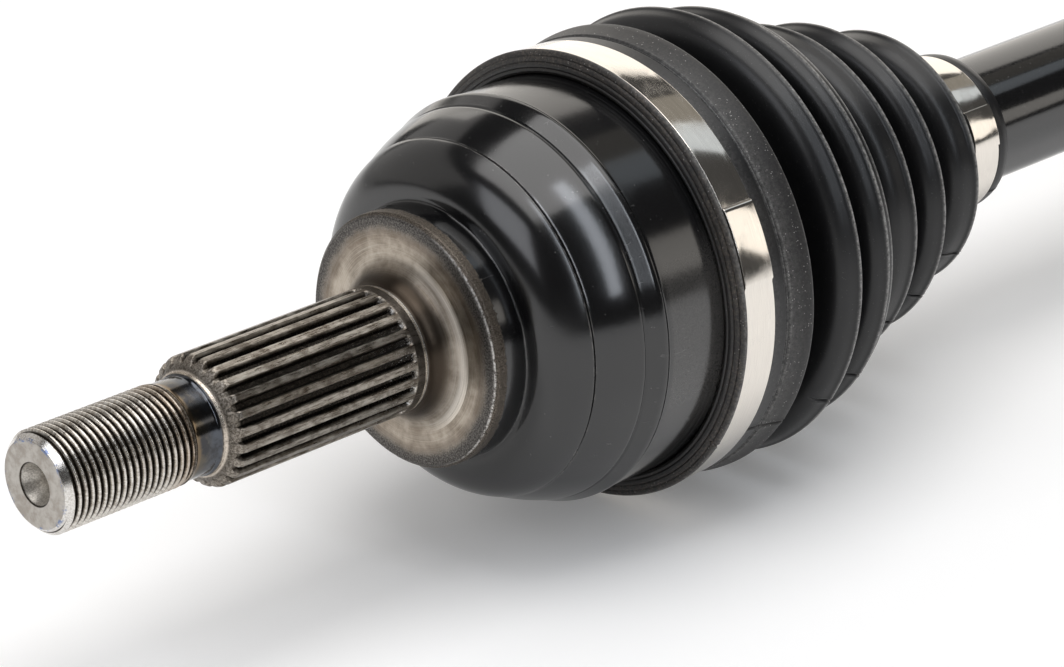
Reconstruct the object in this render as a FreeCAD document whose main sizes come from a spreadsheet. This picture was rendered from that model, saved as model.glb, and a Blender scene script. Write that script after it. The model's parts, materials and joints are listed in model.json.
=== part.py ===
import FreeCAD, Part
import math
import os
import re
import Sketcher

# Half shaft of a front-wheel-drive car, in millimetres.
# The shaft axis is X: the hub end points to -X and the gearbox end to +X. Z is up.
# The origin is on the axis, in the plane of the shoulder that seats against the wheel bearing.

SIZES = {
    # hub stub
    "thread_radius": 10.0,
    "thread_length": 29.9,
    "thread_chamfer": 1.5,
    "centre_hole_radius": 4.1,
    "centre_hole_depth": 9.0,
    "centre_hole_cone": 2.5,
    "relief_radius": 9.6,
    "relief_length": 6.6,
    "relief_flank": 0.6,
    "hub_spline_radius": 13.0,
    "hub_spline_length": 44.0,
    "hub_spline_lead": 2.3,
    "hub_spline_depth": 1.35,
    "hub_spline_teeth": 24,
    "hub_spline_tip_share": 0.42,
    "hub_spline_root_share": 0.30,
    "collar_length": 2.7,
    "root_fillet": 5.3,
    # boss and bell of the outer joint
    "boss_radius": 25.8,
    "boss_chamfer": 0.9,
    "boss_length": 7.4,
    "crease_length": 0.9,
    "crease_rise": 0.6,
    "dome_length": 7.3,
    "dome_bulge": 11.0,
    "edge_groove_width": 0.7,
    "edge_groove_depth": 0.4,
    "shoulder_length": 9.0,
    "shoulder_rise": 3.8,
    "shoulder_bulge": 45.0,
    "shoulder_step": 1.3,
    "bead_rise_length": 4.4,
    "bead_width": 0.7,
    "bead_height": 0.3,
    "bell_wall": 4.66,
    "base_wall": 11.3,
    "mouth_reach": 22.0,
    "mouth_lip": 5.1,
    "mouth_chamfer": 0.8,
    # ball joint inside the bell
    "ball_radius": 7.9375,
    "ball_count": 6,
    "ball_circle": 28.0,
    "track_clearance": 0.9,
    "track_sweep": 80.0,
    "cage_outset": 3.0,
    "cage_inset": 1.6,
    "cage_half_width": 13.0,
    "sphere_gap": 0.3,
    "window_gap": 0.05,
    "window_length": 20.0,
    "window_corner": 3.0,
    "race_half_width": 12.5,
    "land_reach": 13.0,
    "pocket_reach": 22.7,
    # bar between the joints
    "joint_distance": 340.0,
    "bar_radius": 13.75,
    "neck_radius": 11.4,
    "neck_reach": 50.0,
    "neck_taper": 8.0,
    "end_spline_radius": 11.8,
    "end_spline_depth": 0.9,
    "end_spline_teeth": 24,
    "end_spline_tip_share": 0.40,
    "end_spline_root_share": 0.28,
    "end_spline_gap": 0.05,
    "end_spline_run": 4.0,
    "end_spline_slope": 1.0,
    "bar_end_reach": 2.0,
    "bar_end_chamfer": 1.0,
    "snap_ring_width": 1.5,
    "snap_ring_bite": 1.3,
    "snap_ring_height": 2.9,
    "snap_ring_gap": 0.05,
    "snap_ring_sweep": 325.0,
    # tripod inside the inner joint
    "trunnion_circle": 24.0,
    "trunnion_radius": 9.6,
    "trunnion_head": 2.8,
    "trunnion_chamfer": 0.4,
    "trunnion_root_radius": 10.3,
    "spider_hub_radius": 17.5,
    "spider_half_width": 10.5,
    "spider_chamfer": 1.2,
    "roller_radius": 16.0,
    "roller_half_width": 4.8,
    "needle_radius": 1.25,
    "needle_count": 24,
    "needle_half_length": 4.4,
    "running_gap": 0.05,
    "washer_thickness": 0.8,
    "trunnion_ring_thickness": 1.1,
    "trunnion_ring_bite": 0.9,
    "trunnion_ring_height": 2.2,
    "ring_mouth": 3.0,
    "washer_cover": 0.7,
    # housing of the inner joint
    "tripod_clearance": 0.85,
    "tulip_bore": 25.2,
    "track_headroom": 4.6,
    "tulip_wall": 6.6,
    "tulip_mouth_reach": 24.0,
    "tulip_mouth_chamfer": 1.2,
    "tulip_track_depth": 43.0,
    "tulip_end_wall": 8.0,
    "tulip_end_corner": 7.0,
    "tulip_skirt_length": 24.0,
    "scallop_radius": 27.0,
    "scallop_depth": 5.0,
    "scallop_length": 38.0,
    "seal_radius": 20.0,
    "seal_length": 18.0,
    "seal_fillet": 3.0,
    "journal_radius": 15.5,
    "journal_length": 14.0,
    "gearbox_spline_radius": 14.0,
    "gearbox_spline_length": 34.0,
    "gearbox_spline_depth": 1.2,
    "gearbox_spline_teeth": 26,
    "gearbox_spline_tip_share": 0.42,
    "gearbox_spline_root_share": 0.30,
    "stub_end_chamfer": 1.6,
    "circlip_setback": 5.0,
    "circlip_width": 1.6,
    "circlip_bite": 1.5,
    "circlip_height": 2.1,
    # how far a cut goes past the surface it opens
    "cut_past": 0.5,
    # boots and their clamps
    "soft_gap": 0.3,
    "clamp_width": 7.9,
    "clamp_thickness": 0.8,
    "clamp_tongue": 0.5,
    "clamp_tongue_sweep": 20.4,
    "clamp_turn": 57.2,
    "small_clamp_turn": -90.0,
    "clamp_side_gap": 0.2,
    "fitted_gap": 0.05,
    "cuff_wall": 3.6,
    "cuff_lip": 0.4,
    "cuff_brim": 1.4,
    "cuff_start": 8.0,
    "cuff_clamp_start": 10.2,
    "rim_reach": 28.6,
    "rim_height": 5.4,
    "outer_fold_count": 5,
    "outer_fold_reach_1": 42.2,
    "outer_fold_reach_2": 53.4,
    "outer_fold_reach_3": 71.1,
    "outer_fold_reach_4": 83.2,
    "outer_fold_reach_5": 100.5,
    "outer_fold_radius_1": 47.0,
    "outer_fold_radius_2": 44.4,
    "outer_fold_radius_3": 36.4,
    "outer_fold_radius_4": 33.7,
    "outer_fold_radius_5": 27.9,
    "outer_small_cuff_reach": 108.5,
    "inner_fold_count": 4,
    "inner_fold_reach_1": 42.0,
    "inner_fold_reach_2": 54.0,
    "inner_fold_reach_3": 66.0,
    "inner_fold_reach_4": 78.0,
    "inner_fold_radius_1": 45.0,
    "inner_fold_radius_2": 39.8,
    "inner_fold_radius_3": 34.6,
    "inner_fold_radius_4": 29.4,
    "inner_small_cuff_reach": 87.2,
    "fold_depth": 10.2,
    "fold_wall": 2.2,
    "crest_wall": 2.8,
    "flank_wall": 1.8,
    "crest_half_width": 1.5,
    "crest_round": 2.2,
    "small_cuff_length": 15.1,
    "small_cuff_wall": 2.2,
    "small_cuff_lip": 1.0,
    "small_clamp_start": 3.5,
}

# Sizes that follow from the ones above.
HUB_TIP = ("(-(root_fillet + collar_length + hub_spline_length + hub_spline_lead"
           " + relief_length + thread_length))")
BELL_RADIUS = "(ball_circle + ball_radius + track_clearance + bell_wall)"
CAGE_OUTER = "(ball_circle + cage_outset)"
CAGE_INNER = "(ball_circle - cage_inset)"
RACE_SPHERE = f"({CAGE_INNER} - sphere_gap)"
BELL_SPHERE = f"({CAGE_OUTER} + sphere_gap)"
TRACK_RADIUS = "(ball_radius + track_clearance)"
OUTER_CENTRE = f"(base_wall + {CAGE_INNER} + sphere_gap)"
INNER_CENTRE = f"({OUTER_CENTRE} + joint_distance)"
SPLINE_ROOT = "(end_spline_radius - end_spline_depth)"
SPLINED_BORE = f"({SPLINE_ROOT} + end_spline_gap)"
RING_ROOM = "(snap_ring_width + 2 * snap_ring_gap)"
ROLLER_TRACK = "(roller_radius + tripod_clearance)"
TRACK_FLOOR = "(trunnion_circle + roller_half_width + track_headroom)"
TULIP_RADIUS = f"({TRACK_FLOOR} + tulip_wall)"
TULIP_END = "(tulip_track_depth + tulip_end_wall)"
GEARBOX_TIP = f"({TULIP_END} + seal_length + journal_length + gearbox_spline_length)"
NEEDLE_CIRCLE = "(trunnion_radius + running_gap + needle_radius)"
ROLLER_BORE = f"({NEEDLE_CIRCLE} + needle_radius + running_gap)"
ROLLER_FACE = "(trunnion_circle + roller_half_width)"
TRUNNION_RING = f"({ROLLER_FACE} + 2 * running_gap + washer_thickness)"
SMALL_CUFF_SEAT = "(bar_radius + soft_gap + small_cuff_wall)"

DOC = FreeCAD.newDocument("drive_shaft")
SHEET = DOC.addObject("Spreadsheet::Sheet", "Sizes")
for row, (alias, size) in enumerate(SIZES.items(), start=1):
    SHEET.set(f"A{row}", alias)
    SHEET.set(f"B{row}", str(size))
    SHEET.setAlias(f"B{row}", alias)
DOC.recompute()

ARMS = 3
NODES = []


def number(text):
    """The value of an expression in the sheet's sizes."""
    found = SHEET.evalExpression(str(text))
    return float(getattr(found, "Value", found))


def bound(text):
    """The same expression, as another object of the document writes it."""
    def prefixed(word):
        return "Sizes." + word.group() if word.group() in SIZES else word.group()
    return re.sub(r"[a-z_]+[0-9]*", prefixed, str(text))


def origin_feature(body, role):
    return next(part for part in body.Origin.OriginFeatures if part.Role == role)


def new_body(label, place="0", turn="0", flip=False):
    """A body whose own origin lies at place on the shaft axis, turned about that axis."""
    body = DOC.addObject("PartDesign::Body", label)
    body.Label = label
    spin = FreeCAD.Rotation(FreeCAD.Vector(1, 0, 0), number(turn))
    if flip:
        spin = FreeCAD.Rotation(FreeCAD.Vector(0, 0, 1), 180).multiply(spin)
    body.Placement = FreeCAD.Placement(FreeCAD.Vector(number(place), 0, 0), spin)
    body.setExpression("Placement.Base.x", bound(place))
    NODES.append(body)
    return body


def new_sketch(body, name, role="XZ_Plane", shift=None):
    sketch = body.newObject("Sketcher::SketchObject", name)
    sketch.AttachmentSupport = [(origin_feature(body, role), "")]
    sketch.MapMode = "FlatFace"
    if shift is not None:
        sketch.setExpression("AttachmentOffset.Base.z", bound(shift))
    return sketch


def fix(sketch, kind, geometry, spot, text):
    """Hold one coordinate of a point of the sketch at an expression."""
    index = sketch.addConstraint(Sketcher.Constraint(kind, -1, 1, geometry, spot, number(text)))
    sketch.setExpression(f"Constraints[{index}]", bound(text))


def arc_centre(start, end, radius, side):
    """The centre of an arc that turns left (side 1) or right (side -1) from start to end."""
    chord = end.sub(start)
    reach = math.sqrt(max(radius ** 2 - (chord.Length / 2) ** 2, 0.0))
    across = FreeCAD.Vector(-chord.y, chord.x, 0).normalize()
    return start.add(chord.multiply(0.5)).add(across.multiply(side * reach))


def outline(sketch, corners):
    """A closed outline. A corner is (x, y), or (x, y, radius, side) where an arc arrives at it."""
    spots = [FreeCAD.Vector(number(corner[0]), number(corner[1]), 0) for corner in corners]
    count = len(corners)
    first_geometry = sketch.GeometryCount
    ends = []
    for index in range(count):
        start = spots[index]
        end = spots[(index + 1) % count]
        corner = corners[(index + 1) % count]
        if len(corner) == 2:
            sketch.addGeometry(Part.LineSegment(start, end), False)
            ends.append((1, 2))
            continue
        radius, side = number(corner[2]), corner[3]
        centre = arc_centre(start, end, radius, side)
        first, last = (start, end) if side > 0 else (end, start)
        circle = Part.Circle(centre, FreeCAD.Vector(0, 0, 1), radius)
        from_angle = math.atan2(first.y - centre.y, first.x - centre.x)
        to_angle = math.atan2(last.y - centre.y, last.x - centre.x)
        sketch.addGeometry(Part.ArcOfCircle(circle, from_angle, to_angle), False)
        ends.append((1, 2) if side > 0 else (2, 1))
    for index in range(count):
        here = first_geometry + index
        after = first_geometry + (index + 1) % count
        leave = ends[(index + 1) % count][0]
        sketch.addConstraint(Sketcher.Constraint("Coincident", here, ends[index][1], after, leave))
        fix(sketch, "DistanceX", after, leave, corners[(index + 1) % count][0])
        fix(sketch, "DistanceY", after, leave, corners[(index + 1) % count][1])
        corner = corners[(index + 1) % count]
        if len(corner) == 4:
            size = Sketcher.Constraint("Radius", here, number(corner[2]))
            held = sketch.addConstraint(size)
            sketch.setExpression(f"Constraints[{held}]", bound(corner[2]))


def circle(sketch, across, up, radius):
    ring = Part.Circle(FreeCAD.Vector(number(across), number(up), 0), FreeCAD.Vector(0, 0, 1), number(radius))
    index = sketch.addGeometry(ring, False)
    fix(sketch, "DistanceX", index, 3, across)
    fix(sketch, "DistanceY", index, 3, up)
    held = sketch.addConstraint(Sketcher.Constraint("Radius", index, number(radius)))
    sketch.setExpression(f"Constraints[{held}]", bound(radius))


def feature(body, kind, name, sketch):
    made = body.newObject("PartDesign::" + kind, name)
    made.Profile = sketch
    sketch.Visibility = False
    return made


def turned(body, corners, name="turned", kind="Revolution", axis="H_Axis", sweep="360",
           role="XZ_Plane", shift=None):
    """Turn an outline of axial and radial places round an axis of its sketch."""
    sketch = new_sketch(body, name + "_outline", role, shift)
    outline(sketch, corners)
    made = feature(body, kind, name, sketch)
    made.ReferenceAxis = (sketch, [axis])
    made.setExpression("Angle", bound(sweep))
    return made


def ringed(body, original, name, count):
    """Repeat a feature evenly round the shaft axis."""
    pattern = body.newObject("PartDesign::PolarPattern", name)
    pattern.Originals = [original]
    pattern.Axis = (origin_feature(body, "X_Axis"), [""])
    pattern.Angle = 360
    pattern.setExpression("Occurrences", bound(count))
    body.Tip = pattern
    return pattern


def cut_along_axis(body, name, corners, plane, length, towards):
    """Cut an outline seen along the axis, from plane towards +X (1) or -X (-1)."""
    sketch = new_sketch(body, name + "_outline", "YZ_Plane", plane)
    outline(sketch, corners)
    made = feature(body, "Pocket", name, sketch)
    made.setExpression("Length", bound(length))
    made.Reversed = towards > 0
    return made


def spline_space(root, tip, teeth, root_share, tip_share):
    """The gap between two teeth: narrow at its root, wide past the tips, centred on +Z."""
    low = f"({root}) * sin(360 / {teeth} * ({root_share}) / 2)"
    low_up = f"({root}) * cos(360 / {teeth} * ({root_share}) / 2)"
    high = f"({tip}) * sin(360 / {teeth} * (1 - ({tip_share})) / 2)"
    high_up = f"({tip}) * cos(360 / {teeth} * (1 - ({tip_share})) / 2)"
    past = f"({tip}) + cut_past"
    return [(f"-({low})", low_up), (low, low_up), (high, high_up), (high, past),
            (f"-({high})", past), (f"-({high})", high_up)]


def spline_tooth(root, tip, teeth, root_share, tip_share, gap):
    """A tooth grown by a gap, as the space that a splined bore keeps for it, centred on +Z."""
    foot = f"(({root}) * sin(360 / {teeth} * (1 - ({root_share})) / 2) + ({gap}))"
    foot_up = f"({root}) * cos(360 / {teeth} * (1 - ({root_share})) / 2)"
    head = f"(({tip}) * sin(360 / {teeth} * ({tip_share}) / 2) + ({gap}))"
    head_up = f"(({tip}) + ({gap}))"
    below = f"({root}) - cut_past"
    return [(f"-({foot})", below), (foot, below), (foot, foot_up), (head, head_up),
            (f"-({head})", head_up), (f"-({foot})", foot_up)]


def outer_joint_housing():
    """Stub axle and bell, forged in one piece, with the ball tracks inside."""
    body = new_body("outer_joint_housing")
    relief = f"({HUB_TIP} + thread_length)"
    lead = f"({relief} + relief_length)"
    spline = f"({lead} + hub_spline_lead)"
    collar = f"({spline} + hub_spline_length)"
    crease = "(boss_length + crease_length)"
    dome_end = f"({crease} + dome_length)"
    shoulder = f"({dome_end} + edge_groove_width)"
    shoulder_end = f"({shoulder} + shoulder_length)"
    bead = f"({shoulder_end} + bead_rise_length)"
    dome_edge = f"({BELL_RADIUS} - shoulder_step - shoulder_rise)"
    bead_radius = f"({BELL_RADIUS} + bead_height)"
    mouth = f"({OUTER_CENTRE} + mouth_reach)"
    land = f"({OUTER_CENTRE} + land_reach)"
    pocket = f"({OUTER_CENTRE} - pocket_reach)"
    floor_sphere = f"({CAGE_INNER} + sphere_gap)"
    turned(body, [
        (f"{HUB_TIP} + centre_hole_depth", "0"),
        (f"{HUB_TIP} + centre_hole_depth - centre_hole_cone", "centre_hole_radius"),
        (HUB_TIP, "centre_hole_radius"),
        (HUB_TIP, "thread_radius - thread_chamfer"),
        (f"{HUB_TIP} + thread_chamfer", "thread_radius"),
        (relief, "thread_radius"),
        (f"{relief} + relief_flank", "relief_radius"),
        (f"{lead} - relief_flank", "relief_radius"),
        (lead, "thread_radius"),
        (spline, "hub_spline_radius"),
        (f"{collar} + collar_length", "hub_spline_radius"),
        ("0", "hub_spline_radius + root_fillet", "root_fillet", 1),
        ("0", "boss_radius - boss_chamfer"),
        ("boss_chamfer", "boss_radius"),
        ("boss_length", "boss_radius"),
        (crease, "boss_radius + crease_rise"),
        (dome_end, dome_edge, "dome_bulge", -1),
        (f"{dome_end} + edge_groove_width / 2", f"{dome_edge} - edge_groove_depth"),
        (shoulder, dome_edge),
        (shoulder_end, f"{BELL_RADIUS} - shoulder_step", "shoulder_bulge", -1),
        (bead, bead_radius),
        (f"{bead} + bead_width", bead_radius),
        (f"{bead} + bead_width * 2", BELL_RADIUS),
        (f"{mouth} - mouth_chamfer", BELL_RADIUS),
        (mouth, f"{BELL_RADIUS} - mouth_chamfer"),
        (mouth, f"{BELL_RADIUS} - mouth_lip"),
        (land, f"sqrt({BELL_SPHERE} ^ 2 - land_reach ^ 2)"),
        (OUTER_CENTRE, BELL_SPHERE, BELL_SPHERE, 1),
        (pocket, f"sqrt({BELL_SPHERE} ^ 2 - pocket_reach ^ 2)", BELL_SPHERE, 1),
        (pocket, f"sqrt({floor_sphere} ^ 2 - pocket_reach ^ 2)"),
        (f"{OUTER_CENTRE} - {floor_sphere}", "0", floor_sphere, 1),
    ])
    cut_tracks(body, OUTER_CENTRE)
    space = spline_space("hub_spline_radius - hub_spline_depth", "hub_spline_radius",
                         "hub_spline_teeth", "hub_spline_root_share", "hub_spline_tip_share")
    tooth_gap = cut_along_axis(body, "spline_space", space, collar,
                               "hub_spline_length + hub_spline_lead + cut_past", -1)
    ringed(body, tooth_gap, "spline_spaces", "hub_spline_teeth")
    return body


def outer_cage():
    """Spherical cage with a window for each ball."""
    body = new_body("outer_cage", OUTER_CENTRE)
    outer_edge = f"sqrt({CAGE_OUTER} ^ 2 - cage_half_width ^ 2)"
    inner_edge = f"sqrt({CAGE_INNER} ^ 2 - cage_half_width ^ 2)"
    turned(body, [
        ("-cage_half_width", inner_edge, CAGE_INNER, 1),
        ("-cage_half_width", outer_edge),
        ("0", CAGE_OUTER, CAGE_OUTER, -1),
        ("cage_half_width", outer_edge, CAGE_OUTER, -1),
        ("cage_half_width", inner_edge),
        ("0", CAGE_INNER, CAGE_INNER, 1),
    ])
    wide = "(ball_radius + window_gap)"
    tall = "(window_length / 2)"
    sketch = new_sketch(body, "window_outline", "XY_Plane")
    outline(sketch, [
        (f"window_corner - {wide}", f"-{tall}", "window_corner", 1),
        (f"{wide} - window_corner", f"-{tall}"),
        (wide, f"window_corner - {tall}", "window_corner", 1),
        (wide, f"{tall} - window_corner"),
        (f"{wide} - window_corner", tall, "window_corner", 1),
        (f"window_corner - {wide}", tall),
        (f"-{wide}", f"{tall} - window_corner", "window_corner", 1),
        (f"-{wide}", f"window_corner - {tall}"),
    ])
    window = feature(body, "Pocket", "window", sketch)
    window.setExpression("Length", bound(f"{CAGE_OUTER} + cut_past"))
    window.Reversed = True
    ringed(body, window, "windows", "ball_count")
    return body


def cut_tracks(body, centre):
    """Cut the meridian ball tracks of the ball joint round the shaft axis."""
    section = new_sketch(body, "track_section", "YZ_Plane", centre)
    circle(section, "0", "ball_circle", TRACK_RADIUS)
    track = feature(body, "Groove", "track", section)
    track.ReferenceAxis = (section, ["H_Axis"])
    track.setExpression("Angle", bound("track_sweep"))
    track.Midplane = True
    ringed(body, track, "tracks", "ball_count")


def outer_inner_race():
    """Inner race of the ball joint, splined onto the bar."""
    body = new_body("outer_inner_race", OUTER_CENTRE)
    edge = f"sqrt({RACE_SPHERE} ^ 2 - race_half_width ^ 2)"
    turned(body, [
        ("-race_half_width", SPLINED_BORE),
        ("-race_half_width", edge),
        ("0", RACE_SPHERE, RACE_SPHERE, -1),
        ("race_half_width", edge, RACE_SPHERE, -1),
        ("race_half_width", SPLINED_BORE),
    ])
    cut_tracks(body, "0")
    cut_spline_bore(body, "race_half_width")
    return body


def cut_spline_bore(body, half_width):
    teeth = spline_tooth(SPLINE_ROOT, "end_spline_radius", "end_spline_teeth",
                         "end_spline_root_share", "end_spline_tip_share", "end_spline_gap")
    slot = cut_along_axis(body, "spline_slot", teeth, f"-{half_width}", f"2 * {half_width}", 1)
    ringed(body, slot, "spline_slots", "end_spline_teeth")


def outer_ball(index):
    """One ball, in its window and between its two tracks."""
    ball = DOC.addObject("Part::Sphere", f"outer_ball_{index + 1}")
    ball.Label = f"outer_ball_{index + 1}"
    ball.setExpression("Radius", bound("ball_radius"))
    ball.setExpression("Placement.Base.x", bound(OUTER_CENTRE))
    ball.setExpression("Placement.Base.y", bound(f"-ball_circle * sin(360 / ball_count * {index})"))
    ball.setExpression("Placement.Base.z", bound(f"ball_circle * cos(360 / ball_count * {index})"))
    NODES.append(ball)
    return ball


def shaft_bar():
    """Bar between the joints: splined ends, ring grooves, necks and the thick middle."""
    body = new_body("shaft_bar", OUTER_CENTRE, "180 / end_spline_teeth")
    ring_seat = "(end_spline_radius - snap_ring_bite)"
    race_out = "race_half_width"
    race_ring = f"({race_out} + {RING_ROOM})"
    hub_out = "spider_half_width"
    hub_ring = f"({hub_out} + {RING_ROOM})"
    far = "joint_distance"
    turned(body, [
        (f"-({race_ring} + bar_end_reach)", "0"),
        (f"-({race_ring} + bar_end_reach)", "end_spline_radius - bar_end_chamfer"),
        (f"-({race_ring} + bar_end_reach - bar_end_chamfer)", "end_spline_radius"),
        (f"-{race_ring}", "end_spline_radius"),
        (f"-{race_ring}", ring_seat),
        (f"-{race_out}", ring_seat),
        (f"-{race_out}", "end_spline_radius"),
        (race_out, "end_spline_radius"),
        (race_out, ring_seat),
        (race_ring, ring_seat),
        (race_ring, "end_spline_radius"),
        (f"{race_ring} + end_spline_run", "end_spline_radius"),
        (f"{race_ring} + end_spline_run + end_spline_slope", "neck_radius"),
        ("neck_reach", "neck_radius"),
        ("neck_reach + neck_taper", "bar_radius"),
        (f"{far} - neck_reach - neck_taper", "bar_radius"),
        (f"{far} - neck_reach", "neck_radius"),
        (f"{far} - {hub_ring} - end_spline_run - end_spline_slope", "neck_radius"),
        (f"{far} - {hub_ring} - end_spline_run", "end_spline_radius"),
        (f"{far} - {hub_ring}", "end_spline_radius"),
        (f"{far} - {hub_ring}", ring_seat),
        (f"{far} - {hub_out}", ring_seat),
        (f"{far} - {hub_out}", "end_spline_radius"),
        (f"{far} + {hub_out}", "end_spline_radius"),
        (f"{far} + {hub_out}", ring_seat),
        (f"{far} + {hub_ring}", ring_seat),
        (f"{far} + {hub_ring}", "end_spline_radius"),
        (f"{far} + {hub_ring} + bar_end_reach - bar_end_chamfer", "end_spline_radius"),
        (f"{far} + {hub_ring} + bar_end_reach", "end_spline_radius - bar_end_chamfer"),
        (f"{far} + {hub_ring} + bar_end_reach", "0"),
    ])
    space = spline_space(SPLINE_ROOT, "end_spline_radius", "end_spline_teeth",
                         "end_spline_root_share", "end_spline_tip_share")
    over = "end_spline_run + bar_end_reach + cut_past"
    outer_gap = cut_along_axis(body, "outer_spline_space", space,
                               f"{race_ring} + end_spline_run", f"2 * {race_ring} + {over}", -1)
    ringed(body, outer_gap, "outer_spline_spaces", "end_spline_teeth")
    inner_gap = cut_along_axis(body, "inner_spline_space", space,
                               f"{far} - {hub_ring} - end_spline_run", f"2 * {hub_ring} + {over}", 1)
    ringed(body, inner_gap, "inner_spline_spaces", "end_spline_teeth")
    return body


def snap_ring(label, place, turn="0"):
    """Open ring in a groove of the bar, its low face at place."""
    body = new_body(label, place, turn)
    low = "(end_spline_radius - snap_ring_bite + snap_ring_gap)"
    turned(body, [
        ("snap_ring_gap", low),
        ("snap_ring_gap", f"{low} + snap_ring_height"),
        ("snap_ring_gap + snap_ring_width", f"{low} + snap_ring_height"),
        ("snap_ring_gap + snap_ring_width", low),
    ], sweep="snap_ring_sweep")
    return body


def tripod_spider():
    """Three-armed spider, splined onto the bar. The first arm points up."""
    body = new_body("tripod_spider", INNER_CENTRE)
    turned(body, [
        ("-spider_half_width", SPLINED_BORE),
        ("-spider_half_width", "spider_hub_radius - spider_chamfer"),
        ("spider_chamfer - spider_half_width", "spider_hub_radius"),
        ("spider_half_width - spider_chamfer", "spider_hub_radius"),
        ("spider_half_width", "spider_hub_radius - spider_chamfer"),
        ("spider_half_width", SPLINED_BORE),
    ], name="hub")
    inside = "((end_spline_radius + spider_hub_radius) / 2)"
    step = "(trunnion_circle - roller_half_width - running_gap)"
    top = f"({ROLLER_FACE} + trunnion_head)"
    groove_radius = "(trunnion_radius - trunnion_ring_bite)"
    groove_top = f"({TRUNNION_RING} + trunnion_ring_thickness + running_gap)"
    arm = turned(body, [
        ("0", inside),
        ("trunnion_root_radius", inside),
        ("trunnion_root_radius", step),
        ("trunnion_radius", step),
        ("trunnion_radius", TRUNNION_RING),
        (groove_radius, TRUNNION_RING),
        (groove_radius, groove_top),
        ("trunnion_radius", groove_top),
        ("trunnion_radius", f"{top} - trunnion_chamfer"),
        ("trunnion_radius - trunnion_chamfer", top),
        ("0", top),
    ], name="trunnion", axis="V_Axis", role="YZ_Plane")
    ringed(body, arm, "trunnions", ARMS)
    cut_spline_bore(body, "spider_half_width")
    return body


def tripod_roller(index):
    """Roller with a spherical rim, on the arm of that number."""
    body = new_body(f"tripod_roller_{index + 1}", INNER_CENTRE, f"360 / {ARMS} * {index}")
    edge = "sqrt(roller_radius ^ 2 - roller_half_width ^ 2)"
    turned(body, [
        (ROLLER_BORE, "trunnion_circle - roller_half_width"),
        (edge, "trunnion_circle - roller_half_width"),
        ("roller_radius", "trunnion_circle", "roller_radius", 1),
        (edge, ROLLER_FACE, "roller_radius", 1),
        (ROLLER_BORE, ROLLER_FACE),
    ], axis="V_Axis", role="YZ_Plane")
    return body


def loose_group(label, solids):
    """A node of several alike solids that share no feature."""
    group = DOC.addObject("Part::Feature", label)
    group.Label = label
    group.Shape = Part.makeCompound(solids)
    group.Placement = FreeCAD.Placement(FreeCAD.Vector(number(INNER_CENTRE), 0, 0), FreeCAD.Rotation())
    NODES.append(group)
    return group


def around_axis(solid, index):
    """A copy of a solid on the first arm, moved to the arm of that number."""
    copy = solid.copy()
    copy.rotate(FreeCAD.Vector(0, 0, 0), FreeCAD.Vector(1, 0, 0), 360 / ARMS * index)
    return copy


def needle_rollers(index):
    """Full row of needles between one arm and its roller."""
    radius = number("needle_radius")
    circle_radius = number(NEEDLE_CIRCLE)
    count = int(number("needle_count"))
    low = number("trunnion_circle - needle_half_length")
    needles = []
    for place in range(count):
        angle = 2 * math.pi * place / count
        foot = FreeCAD.Vector(circle_radius * math.cos(angle), circle_radius * math.sin(angle), low)
        needle = Part.makeCylinder(radius, number("2 * needle_half_length"), foot)
        needles.append(around_axis(needle, index))
    return loose_group(f"needle_rollers_{index + 1}", needles)


def disc_with_hole(inner, outer, low, thickness):
    centre = FreeCAD.Vector(0, 0, number(low))
    solid = Part.makeCylinder(number(outer), number(thickness), centre)
    return solid.cut(Part.makeCylinder(number(inner), number(thickness), centre))


def roller_washers():
    washer = disc_with_hole("trunnion_radius + running_gap", f"{ROLLER_BORE} + washer_cover",
                            f"{ROLLER_FACE} + running_gap", "washer_thickness")
    return loose_group("roller_washers", [around_axis(washer, index) for index in range(ARMS)])


def roller_retaining_rings():
    inner = "(trunnion_radius - trunnion_ring_bite + running_gap)"
    ring = disc_with_hole(inner, f"{inner} + trunnion_ring_height",
                          f"{TRUNNION_RING} + running_gap / 2", "trunnion_ring_thickness")
    corner = FreeCAD.Vector(0, -number("ring_mouth") / 2, number(TRUNNION_RING))
    reach = number(f"{inner} + trunnion_ring_height + cut_past")
    mouth = Part.makeBox(reach, number("ring_mouth"), number("2 * trunnion_ring_thickness"), corner)
    ring = ring.cut(mouth)
    return loose_group("roller_retaining_rings", [around_axis(ring, index) for index in range(ARMS)])


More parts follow.
